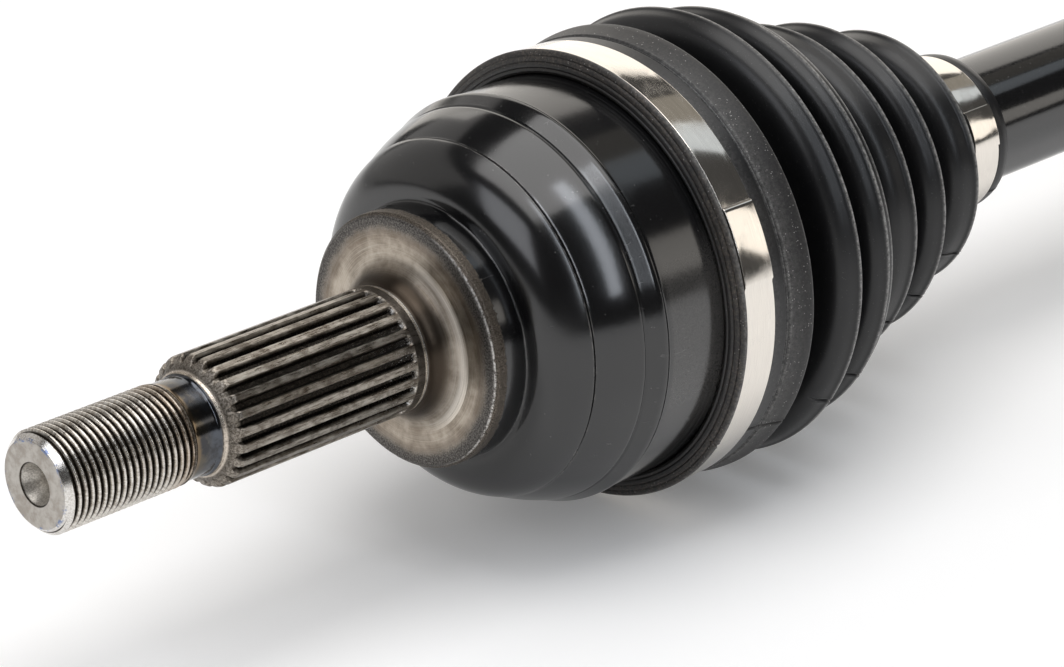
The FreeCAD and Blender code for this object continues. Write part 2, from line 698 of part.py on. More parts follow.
def inner_joint_housing():
    """Tulip of the tripod joint with its stub for the gearbox, forged in one piece."""
    body = new_body("inner_joint_housing", INNER_CENTRE)
    mouth = "(-tulip_mouth_reach)"
    seal_end = f"({TULIP_END} + seal_length)"
    journal_end = f"({seal_end} + journal_length)"
    clip = f"({GEARBOX_TIP} - circlip_setback)"
    clip_radius = "(gearbox_spline_radius - circlip_bite)"
    turned(body, [
        (mouth, "tulip_bore + tulip_mouth_chamfer"),
        (mouth, f"{TULIP_RADIUS} - tulip_mouth_chamfer"),
        (f"{mouth} + tulip_mouth_chamfer", TULIP_RADIUS),
        (f"{TULIP_END} - tulip_end_corner", TULIP_RADIUS),
        (TULIP_END, f"{TULIP_RADIUS} - tulip_end_corner", "tulip_end_corner", -1),
        (TULIP_END, "seal_radius + seal_fillet"),
        (f"{TULIP_END} + seal_fillet", "seal_radius", "seal_fillet", 1),
        (f"{seal_end} - stub_end_chamfer", "seal_radius"),
        (seal_end, "seal_radius - stub_end_chamfer"),
        (seal_end, "journal_radius"),
        (f"{journal_end} - stub_end_chamfer", "journal_radius"),
        (journal_end, "gearbox_spline_radius"),
        (clip, "gearbox_spline_radius"),
        (clip, clip_radius),
        (f"{clip} + circlip_width", clip_radius),
        (f"{clip} + circlip_width", "gearbox_spline_radius"),
        (f"{GEARBOX_TIP} - stub_end_chamfer", "gearbox_spline_radius"),
        (GEARBOX_TIP, "gearbox_spline_radius - stub_end_chamfer"),
        (GEARBOX_TIP, "0"),
        ("tulip_track_depth", "0"),
        ("tulip_track_depth", "tulip_bore"),
        (f"{mouth} + tulip_mouth_chamfer", "tulip_bore"),
    ])
    corner_up = f"(({TRACK_FLOOR} ^ 2 + trunnion_circle ^ 2 - {ROLLER_TRACK} ^ 2) / (2 * trunnion_circle))"
    corner_out = f"sqrt({TRACK_FLOOR} ^ 2 - {corner_up} ^ 2)"
    track = cut_along_axis(body, "roller_track", [
        (corner_out, corner_up, ROLLER_TRACK, 1),
        (f"-{corner_out}", corner_up, TRACK_FLOOR, 1),
        ("0", f"trunnion_circle - {ROLLER_TRACK}", ROLLER_TRACK, 1),
    ], mouth, "tulip_mouth_reach + tulip_track_depth", 1)
    ringed(body, track, "roller_tracks", ARMS)
    scallop = new_sketch(body, "scallop_outline", "YZ_Plane", f"{mouth} + tulip_skirt_length")
    circle(scallop, "0", f"-({TULIP_RADIUS} - scallop_depth + scallop_radius)", "scallop_radius")
    hollow = feature(body, "Pocket", "scallop", scallop)
    hollow.setExpression("Length", bound("scallop_length"))
    hollow.Reversed = True
    ringed(body, hollow, "scallops", ARMS)
    space = spline_space("gearbox_spline_radius - gearbox_spline_depth", "gearbox_spline_radius",
                         "gearbox_spline_teeth", "gearbox_spline_root_share", "gearbox_spline_tip_share")
    gap = cut_along_axis(body, "spline_space", space, journal_end, "gearbox_spline_length + cut_past", 1)
    ringed(body, gap, "spline_spaces", "gearbox_spline_teeth")
    return body


def gearbox_circlip():
    """Open round-wire ring that holds the stub in the gearbox."""
    body = new_body("gearbox_circlip", f"{INNER_CENTRE} + {GEARBOX_TIP} - circlip_setback")
    low = "(gearbox_spline_radius - circlip_bite + snap_ring_gap)"
    turned(body, [
        ("snap_ring_gap", low),
        ("snap_ring_gap", f"{low} + circlip_height"),
        ("circlip_width - snap_ring_gap", f"{low} + circlip_height"),
        ("circlip_width - snap_ring_gap", low),
    ], sweep="snap_ring_sweep")
    return body


def boot(label, place, flip, seat, mouth, name):
    """Bellows from a joint's rim, at its own origin, to the bar, towards its own +X."""
    body = new_body(label, place, flip=flip)
    inside = f"({seat} + soft_gap)"
    channel = f"({seat} + cuff_wall)"
    brim = f"({channel} + cuff_brim)"
    lip = f"({channel} + cuff_lip)"
    rim = f"({seat} + rim_height)"
    clamp_end = "(cuff_clamp_start + clamp_width)"
    small_cuff = f"{name}_small_cuff_reach"
    sag = "(crest_round - sqrt(crest_round ^ 2 - crest_half_width ^ 2))"

    outer = [
        ("cuff_start", inside),
        ("cuff_start", f"{brim} - cuff_wall / 2"),
        ("cuff_start + cuff_wall / 2", brim, "cuff_wall / 2", -1),
        ("cuff_clamp_start - clamp_side_gap", brim),
        ("cuff_clamp_start - clamp_side_gap", channel),
        (f"{clamp_end} + clamp_side_gap", channel),
        (f"{clamp_end} + clamp_side_gap", lip),
        ("rim_reach - crest_round", rim),
        ("rim_reach", f"{rim} - crest_round", "crest_round", -1),
    ]
    inner = []
    last_x = "rim_reach"
    last_r = rim
    for index in range(1, int(number(f"{name}_fold_count")) + 1):
        x = f"{name}_fold_reach_{index}"
        r = f"{name}_fold_radius_{index}"
        valley_x = f"(({last_x} + {x}) / 2)"
        valley_r = f"(({last_r} + {r}) / 2 - fold_depth)"
        outer += [
            (f"{valley_x} - crest_half_width", f"{valley_r} + {sag}"),
            (f"{valley_x} + crest_half_width", f"{valley_r} + {sag}", "crest_round", 1),
            (f"{x} - crest_half_width", f"{r} - {sag}"),
            (f"{x} + crest_half_width", f"{r} - {sag}", "crest_round", -1),
        ]
        inner += [
            (f"{valley_x} - crest_half_width - flank_wall", f"{valley_r} - fold_wall"),
            (f"{valley_x} + crest_half_width + flank_wall", f"{valley_r} - fold_wall"),
            (x, f"{r} - crest_wall"),
        ]
        last_x = x
        last_r = r
    seat_out = SMALL_CUFF_SEAT
    small_lip = f"({seat_out} + small_cuff_lip)"
    band = f"({small_cuff} + small_clamp_start)"
    outer += [
        (f"{small_cuff} - small_cuff_wall", small_lip),
        (f"{band} - clamp_side_gap", small_lip),
        (f"{band} - clamp_side_gap", seat_out),
        (f"{band} + clamp_width + clamp_side_gap", seat_out),
        (f"{band} + clamp_width + clamp_side_gap", small_lip),
        (f"{small_cuff} + small_cuff_length", small_lip),
        (f"{small_cuff} + small_cuff_length", "bar_radius + soft_gap"),
        (f"{small_cuff} - small_cuff_wall", "bar_radius + soft_gap"),
        (f"{small_cuff} - small_cuff_wall * 2", seat_out),
    ]
    inner.reverse()
    start = [("rim_reach - fold_wall", f"{rim} - crest_wall"), (f"{mouth} + fold_wall", inside)]
    turned(body, outer + inner + start)
    return body


def band_clamp(label, place, flip, start, seat, turn):
    """Steel band with its two ends lapped, round a cuff of a boot."""
    body = new_body(label, place, turn, flip)
    top = f"({seat} + clamp_thickness)"
    turned(body, [
        (start, seat),
        (start, top),
        (f"{start} + clamp_width", top),
        (f"{start} + clamp_width", seat),
    ], name="band")
    turned(body, [
        (start, f"{top} - clamp_tongue / 2"),
        (start, f"{top} + clamp_tongue"),
        (f"{start} + clamp_width", f"{top} + clamp_tongue"),
        (f"{start} + clamp_width", f"{top} - clamp_tongue / 2"),
    ], name="lap", sweep="clamp_tongue_sweep")
    return body


def build():
    outer_joint_housing()
    outer_cage()
    outer_inner_race()
    for index in range(int(number("ball_count"))):
        outer_ball(index)
    shaft_bar()
    snap_ring("race_snap_ring", f"{OUTER_CENTRE} - race_half_width - {RING_ROOM}")
    snap_ring("race_stop_ring", f"{OUTER_CENTRE} + race_half_width", "130")
    snap_ring("spider_stop_ring", f"{INNER_CENTRE} - spider_half_width - {RING_ROOM}", "60")
    snap_ring("spider_snap_ring", f"{INNER_CENTRE} + spider_half_width", "200")
    tripod_spider()
    for index in range(ARMS):
        needle_rollers(index)
        tripod_roller(index)
    roller_washers()
    roller_retaining_rings()
    inner_joint_housing()
    gearbox_circlip()
    bell_clamp_seat = f"({BELL_RADIUS} + cuff_wall + fitted_gap)"
    tulip_clamp_seat = f"({TULIP_RADIUS} + cuff_wall + fitted_gap)"
    bar_clamp_seat = f"({SMALL_CUFF_SEAT} + soft_gap)"
    boot("outer_boot", OUTER_CENTRE, False, BELL_RADIUS, "mouth_reach", "outer")
    band_clamp("outer_boot_large_clamp", OUTER_CENTRE, False, "cuff_clamp_start",
               bell_clamp_seat, "clamp_turn")
    band_clamp("outer_boot_small_clamp", OUTER_CENTRE, False,
               "(outer_small_cuff_reach + small_clamp_start)", bar_clamp_seat, "small_clamp_turn")
    boot("inner_boot", INNER_CENTRE, True, TULIP_RADIUS, "tulip_mouth_reach", "inner")
    band_clamp("inner_boot_large_clamp", INNER_CENTRE, True, "cuff_clamp_start",
               tulip_clamp_seat, "small_clamp_turn")
    band_clamp("inner_boot_small_clamp", INNER_CENTRE, True,
               "(inner_small_cuff_reach + small_clamp_start)", bar_clamp_seat, "small_clamp_turn")


def check_and_export():
    DOC.recompute()
    failed = [part.Name for part in DOC.Objects if {"Invalid", "Error"} & set(part.State)]
    if failed:
        raise RuntimeError("failed: " + ", ".join(failed))
    os.makedirs("parts", exist_ok=True)
    for node in NODES:
        shape = node.Shape
        if shape.isNull() or not shape.isValid() or shape.Volume <= 0:
            raise RuntimeError("bad shape: " + node.Label)
        box = shape.BoundBox
        print(f"{node.Label:26s} solids {len(shape.Solids):2d}  volume {shape.Volume:10.1f}"
              f"  x {box.XMin:7.2f} {box.XMax:7.2f}  z {box.ZMin:7.2f} {box.ZMax:7.2f}")
        shape.exportStep(f"parts/{node.Label}.step")


build()
check_and_export()
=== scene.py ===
import json
import math

import bpy
import numpy as np
from mathutils import Matrix, Quaternion, Vector


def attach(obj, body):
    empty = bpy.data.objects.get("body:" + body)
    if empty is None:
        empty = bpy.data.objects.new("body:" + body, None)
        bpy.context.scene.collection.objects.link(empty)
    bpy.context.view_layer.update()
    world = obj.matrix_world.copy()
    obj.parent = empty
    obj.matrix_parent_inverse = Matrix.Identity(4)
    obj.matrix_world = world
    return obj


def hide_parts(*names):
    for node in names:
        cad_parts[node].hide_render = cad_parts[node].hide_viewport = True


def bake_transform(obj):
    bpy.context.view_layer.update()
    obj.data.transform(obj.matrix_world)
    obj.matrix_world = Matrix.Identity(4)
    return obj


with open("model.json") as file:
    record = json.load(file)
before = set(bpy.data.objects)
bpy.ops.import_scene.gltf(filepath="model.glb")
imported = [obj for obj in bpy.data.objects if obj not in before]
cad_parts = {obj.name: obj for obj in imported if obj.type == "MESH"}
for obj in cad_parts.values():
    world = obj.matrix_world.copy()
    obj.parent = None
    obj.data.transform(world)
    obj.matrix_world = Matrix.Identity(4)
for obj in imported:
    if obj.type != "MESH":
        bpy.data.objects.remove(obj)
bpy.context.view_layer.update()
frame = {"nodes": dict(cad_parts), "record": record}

MM = 0.001
TAU = 2 * math.pi

# Places and sizes in mm, along the shaft axis or across it.
OUTER = 38.0             # centre of the ball joint
INNER = 378.0            # centre of the tripod joint
THREAD_TIP = -90.8
THREAD_END = -60.9
THREAD_PITCH = 1.5
THREAD_RADIUS = 10.0
THREAD_DEPTH = 0.92
THREAD_TIP_RADIUS = 8.5
HUB_TEETH = 24
HUB_ROOT = 11.65
HUB_TIP = 13.0
GEARBOX_TEETH = 26
GEARBOX_ROOT = 12.8
GEARBOX_TIP = 14.0
TOOTH_SHARES = (0.30, 0.42)     # shares of the pitch that the root and the tip take
BELL_RADIUS = 41.5
CUP_RADIUS = 40.0
SCALLOP_RADIUS = 27.0
SCALLOP_DEPTH = 5.0
SCALLOP_LENGTH = 38.0
NECK_RADIUS = 11.4
BAR_RADIUS = 13.75
BAR_END_RADIUS = 11.8
BAR_GROOVE_RADIUS = 10.5

# Folds of the boots: place behind the joint's centre and radius of each crest.
OUTER_CRESTS = [(42.2, 47.0), (53.4, 44.4), (71.1, 36.4), (83.2, 33.7), (100.5, 27.9)]
INNER_CRESTS = [(42.0, 45.0), (54.0, 39.8), (66.0, 34.6), (78.0, 29.4)]
OUTER_FOLD_DEPTH = 10.2
INNER_FOLD_DEPTH = 7.2
OUTER_RIM = 46.9         # radius of the wide rim in front of the folds
INNER_RIM = 45.4
OUTER_CUFF = 108.5       # place of the small cuff, behind the joint's centre
INNER_CUFF = 87.2
OUTER_SEAM_TURN = 122.5  # degrees from +Z towards -Y
INNER_SEAM_TURN = 57.0
INNER_MEET = 48.0        # where the two pieces of the inner boot meet, behind the joint's centre

FLOOR_LEVEL = -0.0471    # m
FLOOR_SIDE = 6.0         # m
PHOTO_WIDTH = 1064.0     # pixels
FOCAL_LENGTH = 4500.0    # pixels
SENSOR_WIDTH = 36.0      # mm


# ---------------------------------------------------------------- outlines

def arc_points(start, end, radius, side, steps):
    """Points of an arc between two places, turning left (1) or right (-1)."""
    p, q = np.array(start, float), np.array(end, float)
    chord = q - p
    half = np.linalg.norm(chord) / 2
    across = np.array([-chord[1], chord[0]]) / (2 * half)
    centre = (p + q) / 2 + across * side * math.sqrt(max(radius ** 2 - half ** 2, 0))
    a0 = math.atan2(p[1] - centre[1], p[0] - centre[0])
    a1 = math.atan2(q[1] - centre[1], q[0] - centre[0])
    while side > 0 and a1 < a0:
        a1 += TAU
    while side < 0 and a1 > a0:
        a1 -= TAU
    return [tuple(centre + radius * np.array([math.cos(a), math.sin(a)]))
            for a in np.linspace(a0, a1, steps + 1)]


def soften(points, steps=6):
    """Outline from (x, r) or (x, r, round): a rounded corner starts that far before it and after it."""
    spots = [np.array(p[:2], float) for p in points]
    out = []
    for k, point in enumerate(points):
        cut = point[2] if len(point) > 2 else 0
        if not cut or k in (0, len(points) - 1):
            out.append(tuple(spots[k]))
            continue
        back, ahead = spots[k - 1] - spots[k], spots[k + 1] - spots[k]
        a = spots[k] + back * min(cut / np.linalg.norm(back), 0.5)
        b = spots[k] + ahead * min(cut / np.linalg.norm(ahead), 0.5)
        for t in np.linspace(0, 1, steps + 1):
            out.append(tuple((1 - t) ** 2 * a + 2 * t * (1 - t) * spots[k] + t * t * b))
    return out


def supported(points):
    """Adds rings near the ends of long runs, so that shading turns only at the corners."""
    longest = 6.0
    clean = [points[0]]
    for p in points[1:]:
        if math.dist(p, clean[-1]) > 1e-4:
            clean.append(p)
    out = [clean[0]]
    for k in range(1, len(clean)):
        a, b = np.array(clean[k - 1]), np.array(clean[k])
        run = np.linalg.norm(b - a)
        if run > 0.8:
            near = min(0.22, run / 4)
            marks = [near / run, 1 - near / run]
            extra = int(run // longest)
            marks += [m / (extra + 1) for m in range(1, extra + 1)]
            out += [tuple(a + (b - a) * m) for m in sorted(marks)]
        out.append(tuple(b))
    return out


# ---------------------------------------------------------------- meshes

def grid_object(name, xs, radii, sharp=38, centre=0.0, flip=False, angles=None):
    """A turned surface, open at both ends.

    xs has one place per ring and radii one row of radii per ring (mm). With flip, x counts from the
    centre towards the hub. Edges steeper than sharp (degrees) stay crisp.
    """
    radii = np.asarray(radii, float)
    rings, columns = radii.shape
    if angles is None:
        angles = np.arange(columns) * TAU / columns
    xs = np.repeat(np.asarray(xs, float)[:, None], columns, 1)
    x = (centre - xs if flip else centre + xs) * MM
    y = -np.sin(angles)[None, :] * radii * MM
    z = np.cos(angles)[None, :] * radii * MM
    co = np.stack([x, y, z], -1).reshape(-1, 3)
    i = np.arange(rings - 1)[:, None] * columns
    j = np.arange(columns)[None, :]
    k = (j + 1) % columns
    quads = np.stack([i + j, i + columns + j, i + columns + k, i + k], -1).reshape(-1, 4)
    if flip:
        quads = quads[:, ::-1]
    mesh = bpy.data.meshes.new(name)
    mesh.from_pydata(co.tolist(), [], quads.tolist())
    mesh.update()
    mesh.shade_smooth()
    mesh.set_sharp_from_angle(angle=math.radians(sharp))
    made = bpy.data.objects.new(name, mesh)
    bpy.context.scene.collection.objects.link(made)
    return made


def turned(name, outline, columns, sharp):
    """The outline turned round the axis."""
    points = supported(outline)
    xs = [p[0] for p in points]
    radii = [[max(p[1], 0.001)] * columns for p in points]
    return grid_object(name, xs, radii, sharp=sharp)


# ---------------------------------------------------------------- materials

def material(name):
    """An empty node material and the helper that fills it."""
    mat = bpy.data.materials.new(name)
    mat.use_nodes = True
    return mat, Nodes(mat.node_tree)


class Nodes:
    """Short ways to make and join shader nodes."""

    def __init__(self, tree, output="ShaderNodeOutputMaterial"):
        self.tree = tree
        tree.nodes.clear()
        self.out = self.new(output)

    def new(self, kind, **settings):
        node = self.tree.nodes.new(kind)
        for key, value in settings.items():
            setattr(node, key, value)
        return node

    def put(self, value, socket):
        if hasattr(value, "is_output"):
            self.tree.links.new(value, socket)
        elif isinstance(value, (tuple, list)) and len(value) == 3 and socket.type == "RGBA":
            socket.default_value = (*value, 1)
        else:
            socket.default_value = value

    def math(self, operation, a, b=0.0, c=0.0):
        node = self.new("ShaderNodeMath", operation=operation)
        for socket, value in zip(node.inputs, (a, b, c)):
            self.put(value, socket)
        return node.outputs[0]

    def ramp(self, value, low, high, to_low=0.0, to_high=1.0):
        """Smooth step between low and high."""
        node = self.new("ShaderNodeMapRange", interpolation_type="SMOOTHSTEP")
        for socket, v in zip(node.inputs, (value, low, high, to_low, to_high)):
            self.put(v, socket)
        return node.outputs[0]

    def band(self, value, low, high, edge):
        """1 between low and high, with soft edges."""
        return self.math("MULTIPLY", self.ramp(value, low - edge, low + edge),
                         self.ramp(value, high - edge, high + edge, 1, 0))

    def mix(self, share, a, b):
        node = self.new("ShaderNodeMix", data_type="RGBA", clamp_factor=True)
        self.put(share, node.inputs[0])
        self.put(a, node.inputs[6])
        self.put(b, node.inputs[7])
        return node.outputs[2]

    def blend(self, share, a, b):
        node = self.new("ShaderNodeMix", data_type="FLOAT", clamp_factor=True)
        self.put(share, node.inputs[0])
        self.put(a, node.inputs[2])
        self.put(b, node.inputs[3])
        return node.outputs[0]

    def noise(self, scale, vector, detail=3.0, rough=0.55, distort=0.0):
        node = self.new("ShaderNodeTexNoise", noise_dimensions="3D", noise_type="FBM")
        self.put(vector, node.inputs["Vector"])
        node.inputs["Scale"].default_value = scale
        node.inputs["Detail"].default_value = detail
        node.inputs["Roughness"].default_value = rough
        node.inputs["Distortion"].default_value = distort
        return node.outputs[0]

    def cells(self, scale, vector):
        """Distance to the nearest of scattered points."""
        node = self.new("ShaderNodeTexVoronoi", feature="F1")
        self.put(vector, node.inputs["Vector"])
        node.inputs["Scale"].default_value = scale
        return node.outputs["Distance"]

    def place(self):
        """Position in mm, its x, its radius and its turn (radians from +Z towards -Y) about the shaft."""
        where = self.new("ShaderNodeTexCoord").outputs["Object"]
        scaled = self.new("ShaderNodeVectorMath", operation="SCALE")
        self.put(where, scaled.inputs[0])
        scaled.inputs[3].default_value = 1000.0
        split = self.new("ShaderNodeSeparateXYZ")
        self.put(scaled.outputs[0], split.inputs[0])
        x, y, z = split.outputs
        squares = self.math("ADD", self.math("MULTIPLY", y, y), self.math("MULTIPLY", z, z))
        radius = self.math("SQRT", squares)
        turn = self.math("ARCTAN2", self.math("MULTIPLY", y, -1.0), z)
        return scaled.outputs[0], x, radius, turn

    def vector(self, x, y, z):
        node = self.new("ShaderNodeCombineXYZ")
        for socket, value in zip(node.inputs, (x, y, z)):
            self.put(value, socket)
        return node.outputs[0]

    def round_space(self, x, turn, across):
        """Coordinates that run along the axis and seamlessly round it, stretched by across."""
        return self.vector(x, self.math("MULTIPLY", self.math("COSINE", turn), across),
                           self.math("MULTIPLY", self.math("SINE", turn), across))

    def bump(self, height, distance, strength):
        node = self.new("ShaderNodeBump")
        node.inputs["Strength"].default_value = strength
        node.inputs["Distance"].default_value = distance * MM
        self.put(height, node.inputs["Height"])
        return node.outputs[0]

    def shader(self, **values):
        node = self.new("ShaderNodeBsdfPrincipled")
        for key, value in values.items():
            self.put(value, node.inputs[key.replace("_", " ")])
        self.tree.links.new(node.outputs[0], self.out.inputs[0])


def give(made, mat):
    """Makes mat the only material of the object."""
    made.data.materials.clear()
    made.data.materials.append(mat)


# ---------------------------------------------------------------- looks of the materials

def bare_steel(n, where, x, radius, turn):
    """Turned steel round the stub's root and on the boss: tan ring, darker rim, fine circular tool marks."""
    grime = n.noise(0.20, where, 5, 0.62)
    fine = n.noise(2.8, where, 4, 0.7)
    reach = n.math("ADD", radius, x)
    tool = n.noise(4.5, n.round_space(reach, turn, 0.22), 4, 0.75)
    wander = n.math("MULTIPLY_ADD", n.noise(0.5, where, 4, 0.7), 1.8, -0.9)
    ring = n.math("MULTIPLY_ADD", n.noise(0.09, where, 3, 0.6), 2.6, n.math("ADD", radius, wander))
    tan = n.mix(n.ramp(grime, 0.35, 0.68), (0.225, 0.186, 0.145), (0.44, 0.385, 0.32))
    tan = n.mix(n.ramp(tool, 0.42, 0.7, 0.0, 0.45), tan, (0.58, 0.53, 0.46))
    tan = n.mix(n.ramp(tool, 0.36, 0.24, 0.0, 0.6), tan, (0.10, 0.082, 0.066))
    dark = n.mix(n.ramp(fine, 0.38, 0.66), (0.050, 0.046, 0.043), (0.20, 0.188, 0.175))
    outer = n.ramp(ring, 22.3, 25.2)
    colour = n.mix(outer, tan, dark)
    colour = n.mix(n.math("MULTIPLY", n.band(ring, 22.2, 23.6, 0.7), 0.45), colour, (0.13, 0.10, 0.075))
    rough = n.math("MULTIPLY_ADD", n.ramp(tool, 0.3, 0.7), 0.12, n.blend(outer, 0.27, 0.42))
    height = n.math("MULTIPLY_ADD", fine, n.blend(outer, 0.2, 0.8), n.math("MULTIPLY", tool, 1.1))
    return colour, rough, height, fine, wander


def dust_specks(n, where, scale, size, keep):
    """Scattered small light specks, on "keep" of the surface."""
    near = n.ramp(n.cells(scale, where), size, size * 1.9, 1, 0)
    return n.math("MULTIPLY", near, n.ramp(n.noise(scale * 0.45, where, 2), 1 - keep, 1.04 - keep))


def paint_look():
    """Gloss black paint of the bell; the boss in front is bare turned steel with a rubbed edge, which has a
    painted highlight: lighter on the side towards -Y.
    """
    mat, n = material("bell_paint")
    where, x, radius, turn = n.place()
    steel, steel_rough, steel_height, fine, wander = bare_steel(n, where, x, radius, turn)
    face = n.ramp(x, 0.2, 0.45, 1, 0)
    crumb = n.noise(5.5, where, 4, 0.8)
    rim = n.mix(n.ramp(crumb, 0.42, 0.64), (0.026, 0.021, 0.017), (0.24, 0.208, 0.174))
    steel = n.mix(face, rim, steel)
    ragged = n.math("MULTIPLY_ADD", n.noise(1.6, where, 5, 0.8), 2.6, n.math("MULTIPLY", wander, 0.45))
    bare = n.ramp(n.math("ADD", x, ragged), 4.05, 4.35, 1, 0)
    side = n.ramp(n.math("SINE", turn), -0.35, 0.75)
    # rubbed edge of the boss, bare steel with a painted highlight: lit makes it lighter on the side towards
    # -Y
    worn_and_lit = n.math("MULTIPLY", n.band(radius, 25.10, 25.36, 0.09), n.ramp(x, 0.85, 0.95, 1, 0))
    worn_and_lit = n.math("MULTIPLY", worn_and_lit, n.ramp(n.noise(1.3, where, 5, 0.9), 0.45, 0.55))
    lit = n.ramp(n.math("SINE", turn), 0.25, 0.95)
    worn_and_lit = n.math("MULTIPLY", worn_and_lit, n.math("MULTIPLY_ADD", lit, 0.85, 0.05))
    # black paint with dust specks and hair scratches
    hair_space = n.vector(n.math("MULTIPLY", x, 0.10), n.math("MULTIPLY", turn, 24.0),
                          n.math("MULTIPLY", radius, 0.3))
    hair = n.ramp(n.noise(3.0, hair_space, 2, 0.5, 0.7), 0.69, 0.72)
    rubbed = n.ramp(n.noise(0.06, where, 2), 0.54, 0.66)
    hair = n.math("MULTIPLY", hair, n.math("MAXIMUM", rubbed, n.band(x, 26.0, 31.4, 0.8)))
    specks = dust_specks(n, where, 0.9, 0.07, 0.42)
    marks = n.math("MAXIMUM", n.math("MULTIPLY", hair, 0.30), n.math("MULTIPLY", specks, 0.7))
    black = n.mix(n.ramp(fine, 0.35, 0.7), (0.0030, 0.0030, 0.0034), (0.0052, 0.0051, 0.0054))
    black = n.mix(marks, black, (0.17, 0.165, 0.16))
    # lighter, partly metallic thin bands on the edges of the front groove; on the step behind the boss a
    # painted highlight, lighter on the side towards -Y
    edge = n.math("MAXIMUM", n.band(x, 15.50, 15.72, 0.05), n.band(x, 16.22, 16.36, 0.05))
    step = n.math("MULTIPLY", n.band(x, 8.02, 8.16, 0.04), n.math("MULTIPLY", side, 0.5))
    edge = n.math("MAXIMUM", edge, step)
    edge = n.math("MULTIPLY", edge, n.ramp(n.noise(0.5, where, 4, 0.7), 0.42, 0.66))
    # a pale dust-like tone on the cylinder's side towards -Y: a painted reflection of the floor
    floor_reflection_haze = n.math("MULTIPLY", n.ramp(x, 31.0, 33.0), n.ramp(n.math("SINE", turn), 0.82, 0.99))
    floor_reflection_haze = n.math("MULTIPLY", floor_reflection_haze, n.ramp(fine, 0.30, 0.70, 0.20, 0.42))
    black = n.mix(floor_reflection_haze, black, (0.135, 0.128, 0.120))
    colour = n.mix(bare, black, steel)
    colour = n.mix(n.math("MULTIPLY", edge, 0.45), colour, (0.30, 0.285, 0.27))
    colour = n.mix(worn_and_lit, colour, (0.74, 0.72, 0.69))
    metal = n.math("MAXIMUM", n.math("MAXIMUM", bare, worn_and_lit), n.math("MULTIPLY", edge, 0.5))
    gloss = n.blend(n.ramp(x, 15.2, 16.8), 0.165, 0.115)
    gloss = n.blend(n.ramp(x, 7.5, 9.5), 0.09, gloss)
    gloss = n.math("MULTIPLY_ADD", rubbed, 0.05, n.math("MULTIPLY_ADD", fine, 0.05, gloss))
    rough = n.blend(bare, gloss, n.blend(face, 0.5, steel_rough))
    film = n.math("MULTIPLY_ADD", n.noise(0.6, where, 2), 0.5, n.math("MULTIPLY", fine, 0.12))
    height = n.blend(bare, film, n.math("MULTIPLY", steel_height, 1.1))
    n.shader(Base_Color=colour, Metallic=metal, Roughness=rough, IOR=1.68,
             Normal=n.bump(height, 0.022, 0.5))
    return mat


